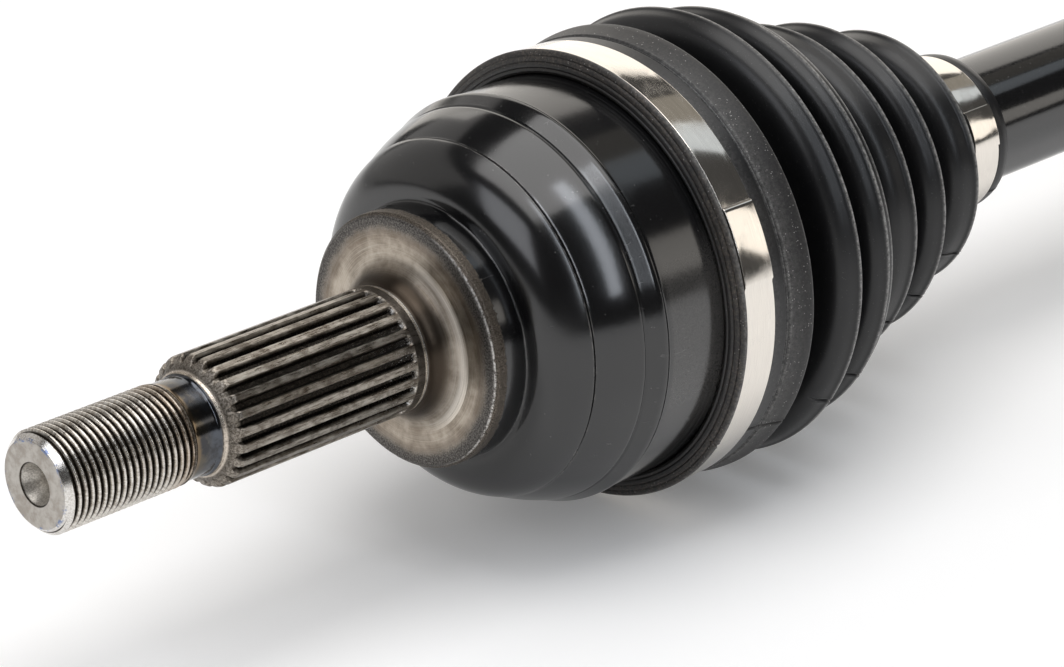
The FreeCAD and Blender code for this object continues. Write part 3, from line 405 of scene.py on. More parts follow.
def stub_look():
    """Oiled steel of the splined stub: dark in the spaces with painted glints, lighter on the lands; painted
    highlights on the collar edge and the fillet, painted shade in the fillet.
    """
    mat, n = material("stub_steel")
    where, x, radius, turn = n.place()
    steel, steel_rough, steel_height, _, _ = bare_steel(n, where, x, radius, turn)
    grime = n.noise(0.30, where, 5, 0.7)
    along = n.vector(n.math("MULTIPLY", x, 0.16), n.math("MULTIPLY", turn, 13.0), radius)
    streak = n.noise(1.8, along, 4, 0.7)
    grain = n.noise(2.4, where, 5, 0.8)
    land = n.ramp(n.math("MULTIPLY_ADD", streak, 0.3, radius), 12.30, 13.00)
    rear_and_lit_side = n.math("MULTIPLY", n.ramp(x, -34.0, -11.0), n.ramp(n.math("SINE", turn), 0.1, 0.85))
    deep = n.mix(n.ramp(grain, 0.42, 0.7), (0.009, 0.0075, 0.006), (0.085, 0.073, 0.060))
    top = n.mix(n.ramp(streak, 0.30, 0.68), (0.120, 0.101, 0.080), (0.43, 0.395, 0.345))
    top = n.mix(n.ramp(grime, 0.44, 0.66, 0.0, 0.75), top, (0.085, 0.066, 0.049))
    colour = n.mix(land, deep, top)
    # painted glints: light specks in the spaces, more of them towards the boss and on the side towards -Y
    glint = n.ramp(n.noise(3.4, where, 3, 0.8), n.blend(rear_and_lit_side, 0.70, 0.60), n.blend(rear_and_lit_side, 0.74, 0.66))
    glint = n.math("MULTIPLY", glint, n.ramp(grime, 0.40, 0.52))
    colour = n.mix(n.math("MULTIPLY", glint, 0.85), colour, (0.80, 0.78, 0.75))
    # burrs at the ends of the spaces, with a painted highlight: brighter on the side towards -Y
    burr = n.math("MULTIPLY", n.band(x, -8.9, -8.1, 0.15), n.band(radius, 12.1, 12.85, 0.15))
    burr = n.math("MULTIPLY", burr, n.ramp(grain, 0.50, 0.60))
    burr = n.math("MULTIPLY", burr, n.math("MULTIPLY_ADD", rear_and_lit_side, 0.7, 0.25))
    colour = n.mix(burr, colour, (0.85, 0.83, 0.80))
    # cone in front of the teeth, collar behind them
    cone = n.mix(n.ramp(grain, 0.38, 0.66), (0.105, 0.088, 0.070), (0.42, 0.38, 0.33))
    cone = n.mix(n.ramp(radius, 10.6, 12.0, 0.55, 1.0), deep, cone)
    colour = n.mix(n.ramp(x, -51.9, -51.2, 1, 0), colour, cone)
    collar = n.mix(n.ramp(grime, 0.35, 0.65), (0.050, 0.044, 0.038), (0.13, 0.115, 0.10))
    colour = n.mix(n.ramp(x, -8.15, -7.95), colour, collar)
    # painted highlight: a bright band on the rounded edge of the collar
    lip = n.math("MULTIPLY", n.band(x, -6.15, -5.42, 0.08), n.ramp(grime, 0.30, 0.50, 0.45, 1.0))
    colour = n.mix(lip, colour, (0.78, 0.74, 0.68))
    # smooth relief neck with faint heat tints and the bright step behind it
    neck = n.band(x, -60.75, -54.5, 0.12)
    drift = n.math("MULTIPLY_ADD", grime, 2.4, x)
    tint = n.mix(n.ramp(drift, -57.6, -55.2), (0.112, 0.099, 0.080), (0.092, 0.100, 0.114))
    tint = n.mix(n.ramp(grime, 0.42, 0.62), tint, (0.060, 0.060, 0.063))
    tint = n.mix(n.math("MULTIPLY", n.band(x, -60.6, -59.6, 0.4), 0.6), tint, (0.24, 0.17, 0.10))
    colour = n.mix(neck, colour, tint)
    step = n.math("MULTIPLY", n.band(x, -54.3, -53.6, 0.12), n.ramp(grain, 0.30, 0.52, 0.3, 1.0))
    colour = n.mix(step, colour, (0.62, 0.55, 0.47))
    # turned fillet in front of the boss: polished steel with a painted highlight, bright only on the side
    # towards -Y, and painted shade, a dark band in the fillet next to the collar
    fillet = n.ramp(x, -5.5, -5.2)
    polished = n.mix(n.ramp(steel_height, 0.5, 1.0), (0.64, 0.58, 0.50), (0.92, 0.87, 0.79))
    lit = n.ramp(n.math("SINE", n.math("ADD", turn, 0.15)), 0.15, 0.80)
    root = n.mix(n.math("MULTIPLY", n.ramp(radius, 15.9, 17.2), lit), steel, polished)
    root = n.mix(n.ramp(radius, 13.6, 16.4), (0.055, 0.043, 0.033), root)
    colour = n.mix(fillet, colour, root)
    rough = n.blend(land, 0.40, n.ramp(streak, 0.3, 0.7, 0.24, 0.42))
    rough = n.blend(neck, rough, 0.13)
    rough = n.blend(n.math("MAXIMUM", lip, step), rough, 0.22)
    rough = n.blend(fillet, rough, steel_rough)
    relief = n.math("MULTIPLY_ADD", grain, 1.3, n.math("MULTIPLY", streak, 0.8))
    relief = n.blend(neck, relief, n.math("MULTIPLY", grime, 0.3))
    height = n.blend(fillet, relief, n.math("MULTIPLY", steel_height, 0.55))
    # the lit part of the polished band is less metallic, so it reads lighter: part of the painted highlight
    worn_and_lit = n.math("MULTIPLY", n.math("MULTIPLY", n.band(radius, 15.3, 17.7, 0.6), lit), fillet)
    n.shader(Base_Color=colour, Metallic=n.blend(worn_and_lit, 1.0, 0.45), Roughness=rough,
             Normal=n.bump(height, 0.05, 0.65))
    return mat


def thread_look():
    """Rolled thread: bright crests, dark roots, bright bevel with traces of blue marking dye."""
    mat, n = material("thread_steel")
    where, x, radius, turn = n.place()
    grime = n.noise(0.4, where, 5, 0.65)
    grain = n.noise(3.0, where, 4, 0.75)
    streak = n.noise(1.6, n.vector(n.math("MULTIPLY", x, 0.10), n.math("MULTIPLY", turn, 9.0), 0.0), 4, 0.6)
    crest = n.ramp(n.math("MULTIPLY_ADD", grain, 0.16, radius), 9.42, 9.86)
    low = n.mix(n.ramp(grain, 0.4, 0.7), (0.012, 0.009, 0.007), (0.085, 0.068, 0.052))
    high = n.mix(n.ramp(streak, 0.28, 0.70), (0.44, 0.40, 0.35), (0.80, 0.77, 0.72))
    high = n.mix(n.ramp(x, -68.0, -61.0, 0.0, 0.55), high, (0.36, 0.26, 0.17))
    high = n.mix(n.ramp(grime, 0.56, 0.72, 0.0, 0.8), high, (0.12, 0.09, 0.07))
    colour = n.mix(crest, low, high)
    bevel = n.math("SUBTRACT", radius, n.math("ADD", x, 99.3))
    on_bevel = n.math("MULTIPLY", n.band(bevel, -0.10, 0.10, 0.05), n.ramp(x, -89.2, -89.4))
    bright = n.mix(n.ramp(grain, 0.32, 0.62), (0.52, 0.485, 0.44), (0.78, 0.76, 0.73))
    colour = n.mix(on_bevel, colour, bright)
    end = n.ramp(x, -90.74, -90.79)
    arcs = n.noise(5.0, n.round_space(radius, turn, 0.3), 3, 0.7)
    face = n.mix(n.ramp(grime, 0.35, 0.65), (0.33, 0.30, 0.265), (0.47, 0.445, 0.41))
    face = n.mix(n.ramp(grain, 0.62, 0.74, 0, 0.6), face, (0.10, 0.085, 0.07))
    colour = n.mix(end, colour, face)
    dye = n.math("MULTIPLY", n.band(radius, 8.05, 8.85, 0.12), n.ramp(x, -90.3, -90.5))
    dye = n.math("MULTIPLY", dye, n.ramp(n.noise(0.35, where, 5, 0.75), 0.50, 0.60))
    colour = n.mix(n.math("MULTIPLY", dye, 0.85), colour, (0.13, 0.19, 0.36))
    hole = n.math("MULTIPLY", n.ramp(radius, 4.05, 4.2, 1, 0), n.ramp(x, -90.7, -90.3))
    inside = n.mix(n.ramp(grain, 0.35, 0.65), (0.42, 0.39, 0.35), (0.78, 0.75, 0.70))
    colour = n.mix(hole, colour, inside)
    rough = n.blend(crest, 0.42, n.ramp(streak, 0.3, 0.7, 0.16, 0.30))
    rough = n.blend(on_bevel, rough, 0.20)
    rough = n.blend(end, rough, n.ramp(arcs, 0.3, 0.7, 0.30, 0.42))
    rough = n.blend(hole, rough, 0.42)
    height = n.math("MULTIPLY_ADD", grain, 0.7, n.blend(end, n.math("MULTIPLY", streak, 0.4), arcs))
    n.shader(Base_Color=colour, Metallic=1.0, Roughness=rough, Normal=n.bump(height, 0.03, 0.5))
    return mat


def rubber_look():
    """Black rubber with a low sheen, dusty rims and crest lines rubbed light, which carry a painted highlight
    on the side towards -Y.
    """
    mat, n = material("boot_rubber")
    where, x, _, turn = n.place()
    wear = n.new("ShaderNodeAttribute", attribute_name="wear").outputs["Fac"]
    dust = n.new("ShaderNodeAttribute", attribute_name="dust").outputs["Fac"]
    cloud = n.noise(0.10, where, 4, 0.6)
    fine = n.noise(1.8, where, 5, 0.75)
    base = n.mix(n.ramp(cloud, 0.3, 0.7), (0.0038, 0.0038, 0.0044), (0.0070, 0.0069, 0.0077))
    dusted = n.mix(n.ramp(fine, 0.40, 0.68), (0.0085, 0.0080, 0.0082), (0.037, 0.034, 0.032))
    brim = n.mix(n.ramp(fine, 0.42, 0.66), (0.012, 0.010, 0.009), (0.105, 0.086, 0.068))
    from_brim = n.math("ABSOLUTE", n.math("SUBTRACT", x, 47.0))
    dusted = n.mix(n.ramp(from_brim, 1.5, 2.2, 1, 0), dusted, brim)
    colour = n.mix(n.math("MULTIPLY", dust, n.ramp(cloud, 0.25, 0.6, 0.45, 1.0)), base, dusted)
    marked = n.math("MAXIMUM", dust, wear)
    speck = dust_specks(n, where, 1.5, 0.10, 0.50)
    speck = n.math("MULTIPLY", speck, n.math("MULTIPLY_ADD", marked, 0.85, 0.10))
    colour = n.mix(speck, colour, (0.46, 0.44, 0.42))
    # painted highlight: the rubbed crest lines and their chips are made lighter on the side towards -Y
    side = n.ramp(n.math("SINE", turn), -0.2, 0.9, 0.35, 1.0)
    line = n.math("MULTIPLY", wear, n.ramp(n.noise(1.2, where, 5, 0.8), 0.34, 0.66, 0.10, 1.0))
    colour = n.mix(n.math("MULTIPLY", n.math("MULTIPLY", line, side), 0.85), colour, (0.40, 0.39, 0.375))
    chips = n.ramp(n.noise(2.6, where, 4, 0.8), 0.60, 0.68)
    chips = n.math("MULTIPLY", chips, n.math("MULTIPLY", wear, side))
    colour = n.mix(n.math("MULTIPLY", chips, 0.8), colour, (0.60, 0.58, 0.56))
    rough = n.math("MULTIPLY_ADD", dust, 0.16, n.ramp(fine, 0.2, 0.8, 0.31, 0.39))
    height = n.math("MULTIPLY_ADD", fine, 0.5, n.math("MULTIPLY", n.noise(5.0, where, 3, 0.6), 0.3))
    n.shader(Base_Color=colour, Roughness=rough, Normal=n.bump(height, 0.05, 0.5), IOR=1.5)
    return mat


def clamp_look():
    """Bright rolled stainless strip with fine lines along the strip."""
    mat, n = material("clamp_steel")
    where, x, _, turn = n.place()
    lines = n.noise(7.0, n.vector(x, n.math("MULTIPLY", turn, 0.7), 0.0), 4, 0.7)
    cloud = n.noise(0.16, where, 3)
    brushed = n.ramp(cloud, 0.46, 0.60)
    colour = n.mix(n.ramp(lines, 0.35, 0.65), (0.74, 0.695, 0.635), (0.82, 0.775, 0.71))
    scratch = n.math("MULTIPLY", n.ramp(lines, 0.60, 0.66), brushed)
    colour = n.mix(n.math("MULTIPLY", scratch, 0.5), colour, (0.30, 0.30, 0.31))
    # painted shade: a dark line along the edge of the lap, only on the outer joint's large clamp
    lap = n.math("MULTIPLY", n.band(turn, 0.9955, 1.0000, 0.0012), n.ramp(x, 60.0, 58.0))
    colour = n.mix(n.math("MULTIPLY", lap, 0.9), colour, (0.03, 0.027, 0.025))
    rough = n.math("MULTIPLY_ADD", brushed, 0.06, n.ramp(lines, 0.3, 0.7, 0.075, 0.12))
    rough = n.blend(lap, rough, 0.5)
    height = n.math("MULTIPLY", lines, n.math("MULTIPLY_ADD", brushed, 0.8, 0.3))
    n.shader(Base_Color=colour, Metallic=1.0, Roughness=rough, Normal=n.bump(height, 0.004, 0.4))
    return mat


def bar_look():
    """Gloss black paint of the bar, with its bare ends inside the joints."""
    mat, n = material("bar_paint")
    where, x, _, turn = n.place()
    fine = n.noise(1.6, where, 4)
    hair = n.ramp(n.noise(2.6, n.vector(n.math("MULTIPLY", x, 0.35), n.math("MULTIPLY", turn, 7.0), 0.0),
                          2, 0.5, 1.5), 0.71, 0.74)
    hair = n.math("MULTIPLY", hair, n.ramp(n.noise(0.05, where, 2), 0.52, 0.6))
    specks = n.ramp(n.cells(0.6, where), 0.04, 0.09, 1, 0)
    colour = n.mix(n.ramp(fine, 0.3, 0.7), (0.0030, 0.0030, 0.0033), (0.0050, 0.0050, 0.0054))
    colour = n.mix(n.math("MULTIPLY", n.math("MAXIMUM", hair, specks), 0.25), colour, (0.25, 0.25, 0.25))
    bare = n.math("MAXIMUM", n.ramp(x, 57.5, 58.5, 1, 0), n.ramp(x, 357.5, 358.5))
    steel = n.mix(n.ramp(fine, 0.3, 0.7), (0.25, 0.235, 0.22), (0.42, 0.40, 0.38))
    colour = n.mix(bare, colour, steel)
    rough = n.blend(bare, n.ramp(fine, 0.3, 0.7, 0.09, 0.14), 0.38)
    n.shader(Base_Color=colour, Metallic=bare, Roughness=rough, IOR=1.75,
             Normal=n.bump(n.noise(0.5, where, 2), 0.012, 0.4))
    return mat


def inside_steel(name, light, dark, rough, grease=0.4):
    """Steel of the pieces inside the joints, with a film of grease."""
    mat, n = material(name)
    where = n.place()[0]
    film = n.math("MULTIPLY", n.ramp(n.noise(0.25, where, 4), 0.42, 0.62), grease)
    fine = n.noise(2.4, where, 4)
    colour = n.mix(n.ramp(fine, 0.3, 0.7), dark, light)
    colour = n.mix(film, colour, (0.05, 0.035, 0.012))
    n.shader(Base_Color=colour, Metallic=1.0, Roughness=n.ramp(fine, 0.25, 0.75, rough, rough + 0.12),
             Normal=n.bump(fine, 0.02, 0.4))
    return mat


# ---------------------------------------------------------------- hub end

def thread_piece():
    """Rolled M20 x 1.5 thread with its bevelled end and centre hole."""
    columns, rings_per_pitch = 180, 20
    count = int((THREAD_END - THREAD_TIP) / THREAD_PITCH * rings_per_pitch)
    xs = list(np.linspace(THREAD_TIP, THREAD_END, count + 1))
    turn = np.arange(columns) / columns
    rows = []
    for x in xs:
        phase = np.mod((x - THREAD_TIP) / THREAD_PITCH - turn, 1.0)
        wave = np.clip((np.abs(phase - 0.5) - 0.09) / 0.29, 0, 1)      # 0 on the crest, 1 in the root
        wave = wave * wave * (3 - 2 * wave) * 0.45 + wave * 0.55
        row = np.minimum(THREAD_RADIUS - THREAD_DEPTH * wave, THREAD_TIP_RADIUS + (x - THREAD_TIP))
        run_out = max(0.0, x - (THREAD_END - 0.6)) * 0.9
        rows.append(np.minimum(row, THREAD_RADIUS - run_out))
    face = soften([(-84.2, 0.0), (-85.2, 2.1, 0.3), (-87.2, 2.5, 0.5), (THREAD_TIP, 4.2, 0.3),
                   (THREAD_TIP, THREAD_TIP_RADIUS)], 4)
    head = supported(face)[:-1]
    xs = [p[0] for p in head] + xs
    rows = [[max(p[1], 0.001)] * columns for p in head] + [list(r) for r in rows]
    return grid_object("hub_thread", xs, rows, sharp=55)


def tooth_ring(turn, teeth, root, tip):
    """Radius of a splined ring at each turn (in rounds). A space is centred on 0."""
    soft = 0.12                                                    # share of the flank that each corner takes
    phase = np.abs(np.mod(turn * teeth + 0.5, 1.0) - 0.5) * 2      # 0 in the space, 1 on the land
    low, high = TOOTH_SHARES[0], 1 - TOOTH_SHARES[1]
    rise = np.clip((phase - low) / (high - low), 0, 1)
    rise = np.where(rise < soft, rise ** 2 / (2 * soft), rise - soft / 2)
    rise = rise / (1 - soft / 2)
    left = 1 - rise
    rise = 1 - np.where(left < soft, left ** 2 / (2 * soft), left - soft / 2) / (1 - soft / 2)
    return root + (tip - root) * np.clip(rise, 0, 1)


def splined_piece(name, outline, teeth, root, tip, x0, x1, columns_per_tooth, fade, extra, centre=0.0):
    """A turned outline with spline spaces cut into it between x0 and x1.

    The spaces run out over the length fade at both ends; extra gives more places for rings.
    """
    columns = teeth * columns_per_tooth
    ring = tooth_ring(np.arange(columns) / columns, teeth, root, tip)
    points = supported(outline)
    steps = [fade * k / 5 for k in range(6)]
    marks = sorted(set([x0 + step for step in steps] + [x1 - step for step in steps] + list(extra)))
    xs, rows = [], []
    for a, b in zip(points, points[1:] + [None]):
        xs.append(a[0])
        rows.append(a[1])
        if b is not None and b[0] > a[0]:
            for m in marks:
                if a[0] + 1e-3 < m < b[0] - 1e-3:
                    xs.append(m)
                    rows.append(a[1] + (b[1] - a[1]) * (m - a[0]) / (b[0] - a[0]))
    radii = []
    for x, r in zip(xs, rows):
        if x0 < x < x1:
            ease = min(1.0, (x - x0) / fade, (x1 - x) / fade)
            ease = ease * ease * (3 - 2 * ease)
            cut = tip - (tip - ring) * ease
            radii.append(np.minimum(r, cut) if r <= tip + 1e-6 else np.minimum(r, cut + (r - tip)))
        else:
            radii.append(np.full(columns, max(r, 0.001)))
    return grid_object(name, xs, radii, sharp=60, centre=centre)


def hub_spline_piece():
    """Relief neck, 24-tooth spline, collar and the turned fillet up to the boss."""
    outline = soften([
        (-61.2, 9.2), (-60.9, 9.95, 0.1), (-60.3, 9.62, 0.3), (-54.9, 9.6, 0.4), (-54.45, 9.98, 0.15),
        (-53.75, 10.08, 0.1), (-53.55, 10.5, 0.2), (-52.3, 12.6, 0.4), (-51.5, 13.0, 0.35), (-8.2, 13.0, 0.1),
        (-5.75, 13.0, 0.12), (-5.45, 12.78, 0.1), (-5.3, 13.02),
    ], 5) + arc_points((-5.3, 13.02), (0.0, 18.3), 5.29, 1, 22)[1:]
    return splined_piece("hub_spline", outline, HUB_TEETH, HUB_ROOT, HUB_TIP, -55.2, -8.0,
                         columns_per_tooth=20, fade=1.1, extra=(-50, -40, -30, -20, -12))


def bell_piece():
    """Boss, dome, two grooves, shoulder, bead and cylinder, with the thin mouth inside the boot."""
    outline = soften([
        (0.0, 18.3), (0.0, 24.9, 0.2), (0.9, 25.8, 0.3), (8.0, 25.82, 0.15), (8.14, 26.0, 0.05),
        (8.3, 26.5),
    ], 5)
    outline += arc_points((8.3, 26.5), (15.6, 36.4), 11.0, -1, 30)[1:]
    outline += soften([
        (15.6, 36.4), (15.74, 36.42, 0.08), (15.92, 36.0, 0.12), (16.1, 36.05, 0.08),
        (16.24, 36.42, 0.08), (16.5, 36.5),
    ], 4)[1:]
    outline += arc_points((16.5, 36.5), (24.7, 39.98), 45.0, -1, 22)[1:]
    outline += soften([
        (24.7, 39.98), (25.3, 40.16, 0.2), (25.75, 40.16, 0.1), (26.05, 40.02, 0.1),
        (26.4, 40.34, 0.12), (26.9, 40.55, 0.15), (29.6, 41.74, 0.45), (30.4, 41.82, 0.25),
        (31.1, BELL_RADIUS, 0.35), (33.0, BELL_RADIUS), (59.2, BELL_RADIUS, 0.2), (60.0, 40.7, 0.3),
        (60.0, 37.5, 0.3), (59.2, 36.9, 0.2), (46.0, 36.9),
    ], 6)[1:]
    return turned("bell", outline, 320, sharp=50)


hub_thread = thread_piece()
hub_spline = hub_spline_piece()
bell = bell_piece()
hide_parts("outer_joint_housing")
for piece in (hub_thread, hub_spline, bell):
    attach(piece, "outer_joint")
give(hub_thread, thread_look())
give(hub_spline, stub_look())
bell_paint = paint_look()
give(bell, bell_paint)


# ---------------------------------------------------------------- boots

def boot_outline(seat, rim, crests, cuff, depth):
    """Outside of a boot from its big cuff to its small one, with a narrow bead on each crest.

    depth is how far each valley lies below its crests. The second fold has a small bead more.
    """
    channel = seat + 3.6
    points = [
        (8.35, seat + 0.2), (8.0, seat + 0.75, 0.25), (8.3, seat + 1.2, 0.12), (8.12, seat + 1.5, 0.1),
        (8.2, seat + 2.05, 0.2), (8.55, seat + 2.35, 0.12), (8.4, seat + 2.65, 0.1),
        (8.6, seat + 3.3, 0.25), (8.95, seat + 3.55, 0.12), (8.85, seat + 3.85, 0.1),
        (9.15, seat + 4.5, 0.25), (9.5, seat + 4.85, 0.2), (9.95, seat + 4.75, 0.15),
        (10.05, channel), (18.25, channel), (18.4, channel + 0.4, 0.15), (21.5, channel + 0.7, 0.15),
        (21.75, channel + 0.35, 0.1), (22.0, channel + 0.75, 0.1), (22.3, channel + 0.4, 0.1),
        (22.65, channel + 0.95, 0.15), (27.0, rim - 0.05, 0.6), (28.35, rim, 0.5),
        (28.95, rim - 0.9, 0.5), (29.3, rim - 2.4, 0.8),
    ]
    before = (28.6, rim)
    for fold, (x, r) in enumerate(crests):
        valley = ((before[0] + x) / 2, (before[1] + r) / 2 - depth)
        run, rise = x - valley[0], r - valley[1]
        points += [(valley[0] - 0.9, valley[1], 1.0), (valley[0] + 0.9, valley[1], 1.0),
                   (valley[0] + run * 0.27, valley[1] + rise * 0.62, 1.8),
                   (valley[0] + run * 0.46, valley[1] + rise * 0.86, 1.5), (x - 1.1, r - 0.42, 0.5),
                   (x - 0.55, r, 0.35), (x + 0.35, r, 0.4)]
        if fold == 1:
            points += [(x + 0.9, r - 0.75, 0.3), (x + 1.7, r - 0.85, 0.3), (x + 2.3, r - 1.0, 0.4),
                       (x + 0.9 + 1.9, r - 1.5, 0.5), (x + 1.6 + 1.6, r - 3.6, 1.0)]
        else:
            points += [(x + 0.9, r - 1.5, 0.5), (x + 1.6, r - 3.6, 1.0)]
        before = (x, r)
    points += [(cuff - 2.6, 17.2, 1.4), (cuff + 3.1, 17.1, 0.25), (cuff + 3.3, 16.3),
               (cuff + 11.6, 16.3), (cuff + 11.8, 17.15, 0.3), (cuff + 13.4, 17.3, 0.5),
               (cuff + 15.1, 16.9, 0.5), (cuff + 15.1, 14.2)]
    return soften(points, 6)


def worn_lines(seat, rim, crests):
    """Places (x, r, how much wear) of the lines that are rubbed light."""
    return ([(x, r, 1.0) for x, r in crests]
            + [(28.6, rim, 0.9), (22.0, seat + 4.35, 0.55), (22.6, seat + 4.5, 0.5),
               (9.5, seat + 4.85, 0.5), (18.45, seat + 4.0, 0.25),
               (crests[1][0] + 2.2, crests[1][1] - 0.9, 0.9)])


def boot_surface(name, line, notch, centre, flip, columns):
    """Turned boot with a fine moulding seam across its crests at the turn notch (degrees) and opposite."""
    points = supported(line)
    base = np.arange(columns) * 360.0 / columns
    near = np.arange(-1.2, 1.21, 0.15)
    fine = np.concatenate([near + notch, near + notch + 180]) % 360
    degrees = np.unique(np.round(np.concatenate([base, fine]), 3))
    away = np.minimum(np.abs(degrees - notch % 360), np.abs(degrees - (notch + 180) % 360))
    groove = np.clip(1.2 - away / 0.45, 0, 1)
    lips = np.clip(1 - np.abs(away - 0.9) / 0.5, 0, 1)
    cut = groove * 0.65 - lips * 0.10
    radius = np.array([p[1] for p in points])
    hull = np.array([max(p[1] for p in points if abs(p[0] - q[0]) < 5.5) for q in points])
    share = np.clip(1 - (hull - radius) / 3.0, 0, 1)
    radii = np.maximum(radius, 0.001)[:, None] - share[:, None] * cut[None, :]
    return grid_object(name, [p[0] for p in points], radii, sharp=70, centre=centre, flip=flip,
                       angles=np.radians(degrees))


def lay_wear(made, crests, rims, centre, flip):
    """Keeps, at each vertex, how worn a crest is and how dusty a band is."""
    co = np.array([v.co for v in made.data.vertices], float)
    x = co[:, 0] / MM
    local = centre - x if flip else x - centre
    radius = np.hypot(co[:, 1], co[:, 2]) / MM
    wear = np.zeros(len(co))
    dust = np.zeros(len(co))
    for cx, cr, share in crests:
        off = ((local - cx) / 0.42) ** 2 + ((radius - cr) / 0.5) ** 2
        wear = np.maximum(wear, share * np.exp(-off))
    for a, b, share in rims:
        inside = np.clip((local - a) / 0.6, 0, 1) * np.clip((b - local) / 0.6, 0, 1)
        dust = np.maximum(dust, inside * share)
    for name, values in (("wear", wear), ("dust", dust)):
        attribute = made.data.attributes.new(name, "FLOAT", "POINT")
        attribute.data.foreach_set("value", values.astype(np.float32))


boot_rubber = rubber_look()
outer_line = boot_outline(BELL_RADIUS, OUTER_RIM, OUTER_CRESTS, OUTER_CUFF, OUTER_FOLD_DEPTH)
outer_boot = boot_surface("outer_boot_rubber", outer_line, OUTER_SEAM_TURN, OUTER, False, 320)
lay_wear(outer_boot, worn_lines(BELL_RADIUS, OUTER_RIM, OUTER_CRESTS), [(8.0, 10.0, 0.8), (22.2, 28.7, 1.0)],
         OUTER, False)
give(outer_boot, boot_rubber)
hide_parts("outer_boot")
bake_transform(outer_boot)

# The inner boot is two pieces that meet in a valley.
inner_line = boot_outline(CUP_RADIUS, INNER_RIM, INNER_CRESTS, INNER_CUFF, INNER_FOLD_DEPTH)
meet = min(range(len(inner_line)), key=lambda k: abs(inner_line[k][0] - INNER_MEET) + 1e-3 * inner_line[k][1])
parts = (("inner_boot_wide", inner_line[:meet + 1]), ("inner_boot_narrow", inner_line[meet:]))
inner_boots = []
for name, line in parts:
    piece = boot_surface(name, line, INNER_SEAM_TURN, INNER, True, 256)
    lay_wear(piece, worn_lines(CUP_RADIUS, INNER_RIM, INNER_CRESTS), [(8.0, 10.0, 0.7), (22.2, 28.7, 0.8)],
             INNER, True)
    give(piece, boot_rubber)
    inner_boots.append(piece)
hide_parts("inner_boot")
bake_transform(inner_boots[0])
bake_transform(inner_boots[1])


# ---------------------------------------------------------------- clamps

def clamp_piece(name, inside, outside, x0, x1, lap_from, lap_to, lap, centre, flip=False):
    """Steel band. Its outer end laps over the inner one between two turns (degrees from +Z towards -Y)."""
    columns = 720
    degrees = np.arange(columns) * 360.0 / columns
    raised = np.clip((degrees - lap_from) / 0.35, 0, 1) * np.clip((lap_to - degrees) / 0.35, 0, 1) * lap
    width = x1 - x0
    outline = [(0.0, inside), (0.0, outside - 0.10), (0.03, outside - 0.03), (0.10, outside),
               (0.17, outside)]
    outline += [(width * k / 8, outside + 0.07 * (1 - (k / 4 - 1) ** 2)) for k in range(1, 8)]
    outline += [(width - p[0], p[1]) for p in outline[4::-1]] + [(0.0, inside)]
    xs = [x0 + p[0] for p in outline]
    rows = [np.full(columns, p[1]) + (raised if p[1] > inside + 0.01 else 0) for p in outline]
    return grid_object(name, xs, rows, sharp=40, centre=centre, flip=flip)


clamp_steel = clamp_look()
# Radii, edges behind the joint's centre, turns and height of the lap, centre; then node and body.
clamps = [
    (clamp_piece("outer_large_clamp", 45.15, 45.95, 10.2, 18.1, 57.2, 77.6, 0.45, OUTER),
     "outer_boot_large_clamp", "outer_joint"),
    (clamp_piece("outer_small_clamp", 16.55, 17.35, 112.0, 119.9, 52.0, 82.0, 0.4, OUTER),
     "outer_boot_small_clamp", "shaft"),
    (clamp_piece("inner_large_clamp", 43.65, 44.45, 10.2, 18.1, 150.0, 170.4, 0.45, INNER, True),
     "inner_boot_large_clamp", "inner_joint"),
    (clamp_piece("inner_small_clamp", 16.55, 17.35, 90.7, 98.6, 150.0, 180.0, 0.4, INNER, True),
     "inner_boot_small_clamp", "shaft"),
]
for piece, node, body in clamps:
    give(piece, clamp_steel)
    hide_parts(node)
    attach(piece, body)


# ---------------------------------------------------------------- bar

def bar_piece():
    """Bar with its thicker middle and, inside the joints, its end splines' grooves for the rings."""
    start, end = 21.9, 392.1
    outline = soften([
        (start, 0.0), (start, 10.9, 0.2), (start + 0.9, BAR_END_RADIUS, 0.2), (23.9, BAR_END_RADIUS),
        (23.9, BAR_GROOVE_RADIUS), (25.5, BAR_GROOVE_RADIUS), (25.5, BAR_END_RADIUS),
        (50.5, BAR_END_RADIUS), (50.5, BAR_GROOVE_RADIUS), (52.1, BAR_GROOVE_RADIUS),
        (52.1, BAR_END_RADIUS), (56.1, BAR_END_RADIUS, 0.3), (57.1, NECK_RADIUS, 0.3),
        (88.0, NECK_RADIUS, 2.0), (96.0, BAR_RADIUS, 2.0), (320.0, BAR_RADIUS, 2.0),
        (328.0, NECK_RADIUS, 2.0), (360.9, NECK_RADIUS, 0.3), (361.9, BAR_END_RADIUS, 0.3),
        (365.9, BAR_END_RADIUS), (365.9, BAR_GROOVE_RADIUS), (367.5, BAR_GROOVE_RADIUS),
        (367.5, BAR_END_RADIUS), (388.5, BAR_END_RADIUS), (388.5, BAR_GROOVE_RADIUS),
        (390.1, BAR_GROOVE_RADIUS), (390.1, BAR_END_RADIUS), (391.1, BAR_END_RADIUS, 0.2),
        (end, 10.9, 0.2), (end, 0.0),
    ], 5)
    return turned("bar", outline, 192, sharp=45)


bar = bar_piece()
give(bar, bar_look())
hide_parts("shaft_bar")
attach(bar, "shaft")


# ---------------------------------------------------------------- gearbox end

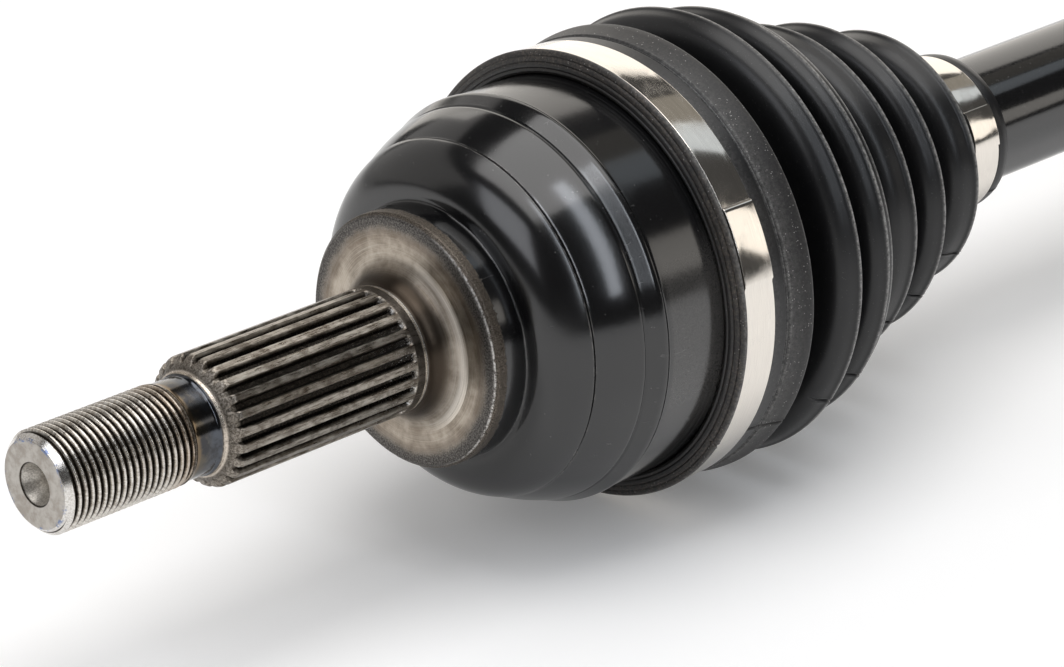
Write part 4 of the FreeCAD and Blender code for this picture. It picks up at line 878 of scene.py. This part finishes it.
def tulip_piece():
    """Outside of the inner joint: cup with three scallops, seal journal and plain journal."""
    columns = 480
    turn = np.arange(columns) * TAU / columns
    body = soften([
        (-16.0, 37.9), (-24.0, 37.9, 0.2), (-24.0, 38.8, 0.3), (-22.8, CUP_RADIUS, 0.5),
        (0.0, CUP_RADIUS), (SCALLOP_LENGTH, CUP_RADIUS), (44.0, CUP_RADIUS),
    ], 5)
    body += arc_points((44.0, CUP_RADIUS), (51.0, 33.0), 7.0, -1, 10)[1:]
    body += [(51.0, 23.0)]
    body += arc_points((51.0, 23.0), (54.0, 20.0), 3.0, 1, 8)[1:]
    body += soften([(54.0, 20.0), (67.4, 20.0, 0.2), (69.0, 18.4, 0.4), (69.0, 15.5, 0.3),
                    (81.4, 15.5, 0.2), (83.0, 14.0)], 5)[1:]
    xs, rows = [], []
    scallop = np.full(columns, CUP_RADIUS)
    far = CUP_RADIUS - SCALLOP_DEPTH + SCALLOP_RADIUS
    for k in range(3):
        away = np.abs((turn - math.pi - k * TAU / 3 + math.pi) % TAU - math.pi)
        inside = np.clip(SCALLOP_RADIUS ** 2 - (far * np.sin(away)) ** 2, 0, None)
        cut = far * np.cos(away) - np.sqrt(inside)
        scallop = np.where((inside > 0) & (away < 1.2), np.minimum(scallop, cut), scallop)
    for x, r in supported(body):
        if 0.01 < x < SCALLOP_LENGTH - 0.01:
            r_row = np.minimum(scallop, r)
        else:
            r_row = np.full(columns, r)
        if abs(x) < 0.01:
            xs += [x, x, x + 0.25]
            rows += [r_row, np.minimum(scallop + 0.25, r), np.minimum(scallop, r)]
        elif abs(x - SCALLOP_LENGTH) < 0.01:
            xs += [x - 0.25, x, x]
            rows += [np.minimum(scallop, r), np.minimum(scallop + 0.25, r), r_row]
        else:
            xs.append(x)
            rows.append(r_row)
    return grid_object("inner_tulip", xs, rows, sharp=40, centre=INNER)


def gearbox_spline_piece():
    """Splined end of the stub, with the circlip groove and a centre hole."""
    outline = soften([(83.0, 14.0), (112.0, 14.0), (112.0, 12.5), (113.6, 12.5), (113.6, 14.0),
                      (115.6, 14.0, 0.3), (117.0, 12.5, 0.3), (117.0, 3.2, 0.3), (112.0, 3.2),
                      (110.0, 0.0)], 4)
    return splined_piece("gearbox_spline", outline, GEARBOX_TEETH, GEARBOX_ROOT, GEARBOX_TIP, 82.5, 117.6,
                         columns_per_tooth=16, fade=0.5, extra=(90, 98, 106), centre=INNER)


def tulip_look():
    """Cast and turned inner housing: black paint on the cup, bright ground journals on the stub."""
    mat, n = material("tulip_paint")
    where, x, radius, turn = n.place()
    fine = n.noise(2.0, where, 4)
    grime = n.noise(0.25, where, 5, 0.6)
    bare = n.ramp(n.math("MULTIPLY_ADD", n.noise(0.8, where, 3), 1.2, x), 429.3, 429.9)
    black = n.mix(n.ramp(grime, 0.3, 0.8), (0.0065, 0.0065, 0.007), (0.013, 0.0128, 0.013))
    specks = n.ramp(n.cells(0.7, where), 0.05, 0.1, 1, 0)
    black = n.mix(n.math("MULTIPLY", specks, 0.3), black, (0.15, 0.14, 0.13))
    rings = n.noise(5.0, n.round_space(n.math("ADD", x, radius), turn, 0.2), 2, 0.6)
    steel = n.mix(n.ramp(rings, 0.3, 0.7), (0.30, 0.28, 0.255), (0.52, 0.50, 0.47))
    steel = n.mix(n.ramp(grime, 0.5, 0.7, 0, 0.5), steel, (0.13, 0.11, 0.09))
    colour = n.mix(bare, black, steel)
    rough = n.blend(bare, n.ramp(fine, 0.2, 0.8, 0.26, 0.36), n.ramp(rings, 0.3, 0.7, 0.22, 0.36))
    waves = n.math("MULTIPLY", n.noise(0.7, where, 3), 0.7)
    height = n.math("ADD", waves, n.math("MULTIPLY", fine, 0.3))
    n.shader(Base_Color=colour, Metallic=bare, Roughness=rough, Normal=n.bump(height, 0.04, 0.5))
    return mat


tulip = tulip_piece()
gearbox_spline = gearbox_spline_piece()
give(tulip, tulip_look())
give(gearbox_spline, inside_steel("gearbox_steel", (0.42, 0.39, 0.35), (0.16, 0.145, 0.125), 0.28, 0.5))
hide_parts("inner_joint_housing")
for piece in (tulip, gearbox_spline):
    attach(piece, "inner_joint")


# ---------------------------------------------------------------- pieces kept from the frame

hardened = inside_steel("hardened_steel", (0.42, 0.40, 0.37), (0.26, 0.25, 0.23), 0.30)
polished = inside_steel("bearing_steel", (0.74, 0.74, 0.74), (0.62, 0.62, 0.62), 0.10, 0.25)
spring = inside_steel("spring_steel", (0.20, 0.19, 0.18), (0.09, 0.085, 0.08), 0.36, 0.3)
by_slot = {"hardened_steel": hardened, "bearing_steel": polished, "spring_steel": spring,
           "bell_paint": bell_paint, "bar_paint": bar.data.materials[0], "clamp_steel": clamp_steel,
           "boot_rubber": boot_rubber}
for row in frame["record"]["subparts"]:
    give(frame["nodes"][row["node"]], by_slot[row["material_slot"]])


# ---------------------------------------------------------------- floor, light, camera

def floor_piece():
    """Plain pale floor. The eye and glossy surfaces see it a little lighter, so that it reads as white."""
    mesh = bpy.data.meshes.new("floor")
    corners = [(-1, -1), (1, -1), (1, 1), (-1, 1)]
    mesh.from_pydata([(FLOOR_SIDE * a, FLOOR_SIDE * b, FLOOR_LEVEL) for a, b in corners], [], [(0, 1, 2, 3)])
    made = bpy.data.objects.new("floor", mesh)
    bpy.context.scene.collection.objects.link(made)
    mat, n = material("floor_white")
    path = n.new("ShaderNodeLightPath")
    pale = n.new("ShaderNodeBsdfDiffuse")
    n.put((0.90, 0.895, 0.89), pale.inputs[0])
    lift = n.new("ShaderNodeEmission")
    n.put((1.0, 1.0, 1.0), lift.inputs[0])
    seen = n.math("MAXIMUM", path.outputs["Is Camera Ray"], path.outputs["Is Glossy Ray"])
    n.put(n.math("MULTIPLY", seen, 0.15), lift.inputs[1])
    total = n.new("ShaderNodeAddShader")
    n.put(pale.outputs[0], total.inputs[0])
    n.put(lift.outputs[0], total.inputs[1])
    n.put(total.outputs[0], n.out.inputs[0])
    give(made, mat)


def softbox(name, azimuth, elevation, width, height, distance, radiance, colour, roll=0):
    """Area lamp seen from the bell in that direction (degrees), of that width and height (degrees)."""
    a, e = math.radians(azimuth), math.radians(elevation)
    way = Vector((math.cos(e) * math.cos(a), math.cos(e) * math.sin(a), math.sin(e)))
    lamp = bpy.data.lights.new(name, "AREA")
    lamp.shape = "RECTANGLE"
    lamp.size = 2 * distance * math.tan(math.radians(width / 2))
    lamp.size_y = 2 * distance * math.tan(math.radians(height / 2))
    lamp.energy = radiance * math.pi * lamp.size * lamp.size_y
    lamp.color = colour
    made = bpy.data.objects.new(name, lamp)
    bpy.context.scene.collection.objects.link(made)
    aim = Vector((0.06, 0, 0))
    made.location = aim + way * distance
    made.rotation_mode = "QUATERNION"
    made.rotation_quaternion = way.to_track_quat("Z", "Y") @ Quaternion((0, 0, 1), math.radians(roll))
    made.visible_camera = False


floor_piece()
softbox("back_wall", 37, 19, 58, 42, 2.2, 1.4, (1.0, 0.955, 0.89))
softbox("back_left", 105, 24, 70, 44, 2.4, 0.50, (1.0, 0.97, 0.94))
softbox("back_gap", 1, 46, 15, 24, 2.0, 0.22, (1.0, 0.93, 0.80))
softbox("right_strip", -92, 46, 7.5, 64, 1.6, 4.6, (0.87, 0.925, 1.0))
softbox("left_box", 180, 36, 36, 34, 1.8, 2.1, (0.93, 0.95, 1.0))
softbox("side_box", -45, 15, 13, 23, 1.8, 1.3, (1.0, 0.95, 0.88), 35)
softbox("high_strip", -18, 43, 12, 18, 1.8, 0.75, (0.85, 0.93, 1.0))
softbox("top_box", 0, 84, 50, 56, 2.0, 2.45, (1.0, 0.99, 0.98))

# The camera sees this world as white, but it lights the scene only faintly.
world = bpy.data.worlds.new("studio")
bpy.context.scene.world = world
world.use_nodes = True
n = Nodes(world.node_tree, "ShaderNodeOutputWorld")
sky = n.new("ShaderNodeBackground")
n.put((1.0, 0.99, 0.98), sky.inputs[0])
n.put(n.blend(n.new("ShaderNodeLightPath").outputs["Is Camera Ray"], 0.06, 1.0), sky.inputs[1])
n.put(sky.outputs[0], n.out.inputs[0])

# Camera fitted to the outlines in the picture.
eye = Vector((-541.5, -581.6, 348.6)) * MM
ahead = Vector((0.6452, 0.6508, -0.4002)).normalized()
right = Vector((0.7101, -0.7041, 0.0)).normalized()
up = right.cross(ahead)
camera_data = bpy.data.cameras.new("camera")
camera_data.sensor_width = SENSOR_WIDTH
camera_data.lens = FOCAL_LENGTH / PHOTO_WIDTH * SENSOR_WIDTH
camera_data.clip_start, camera_data.clip_end = 0.05, 50.0
camera = bpy.data.objects.new("camera", camera_data)
bpy.context.scene.collection.objects.link(camera)
camera.matrix_world = Matrix((
    (right.x, up.x, -ahead.x, eye.x),
    (right.y, up.y, -ahead.y, eye.y),
    (right.z, up.z, -ahead.z, eye.z),
    (0, 0, 0, 1),
))
bpy.context.scene.camera = camera
bpy.context.scene.view_settings.view_transform = "Standard"
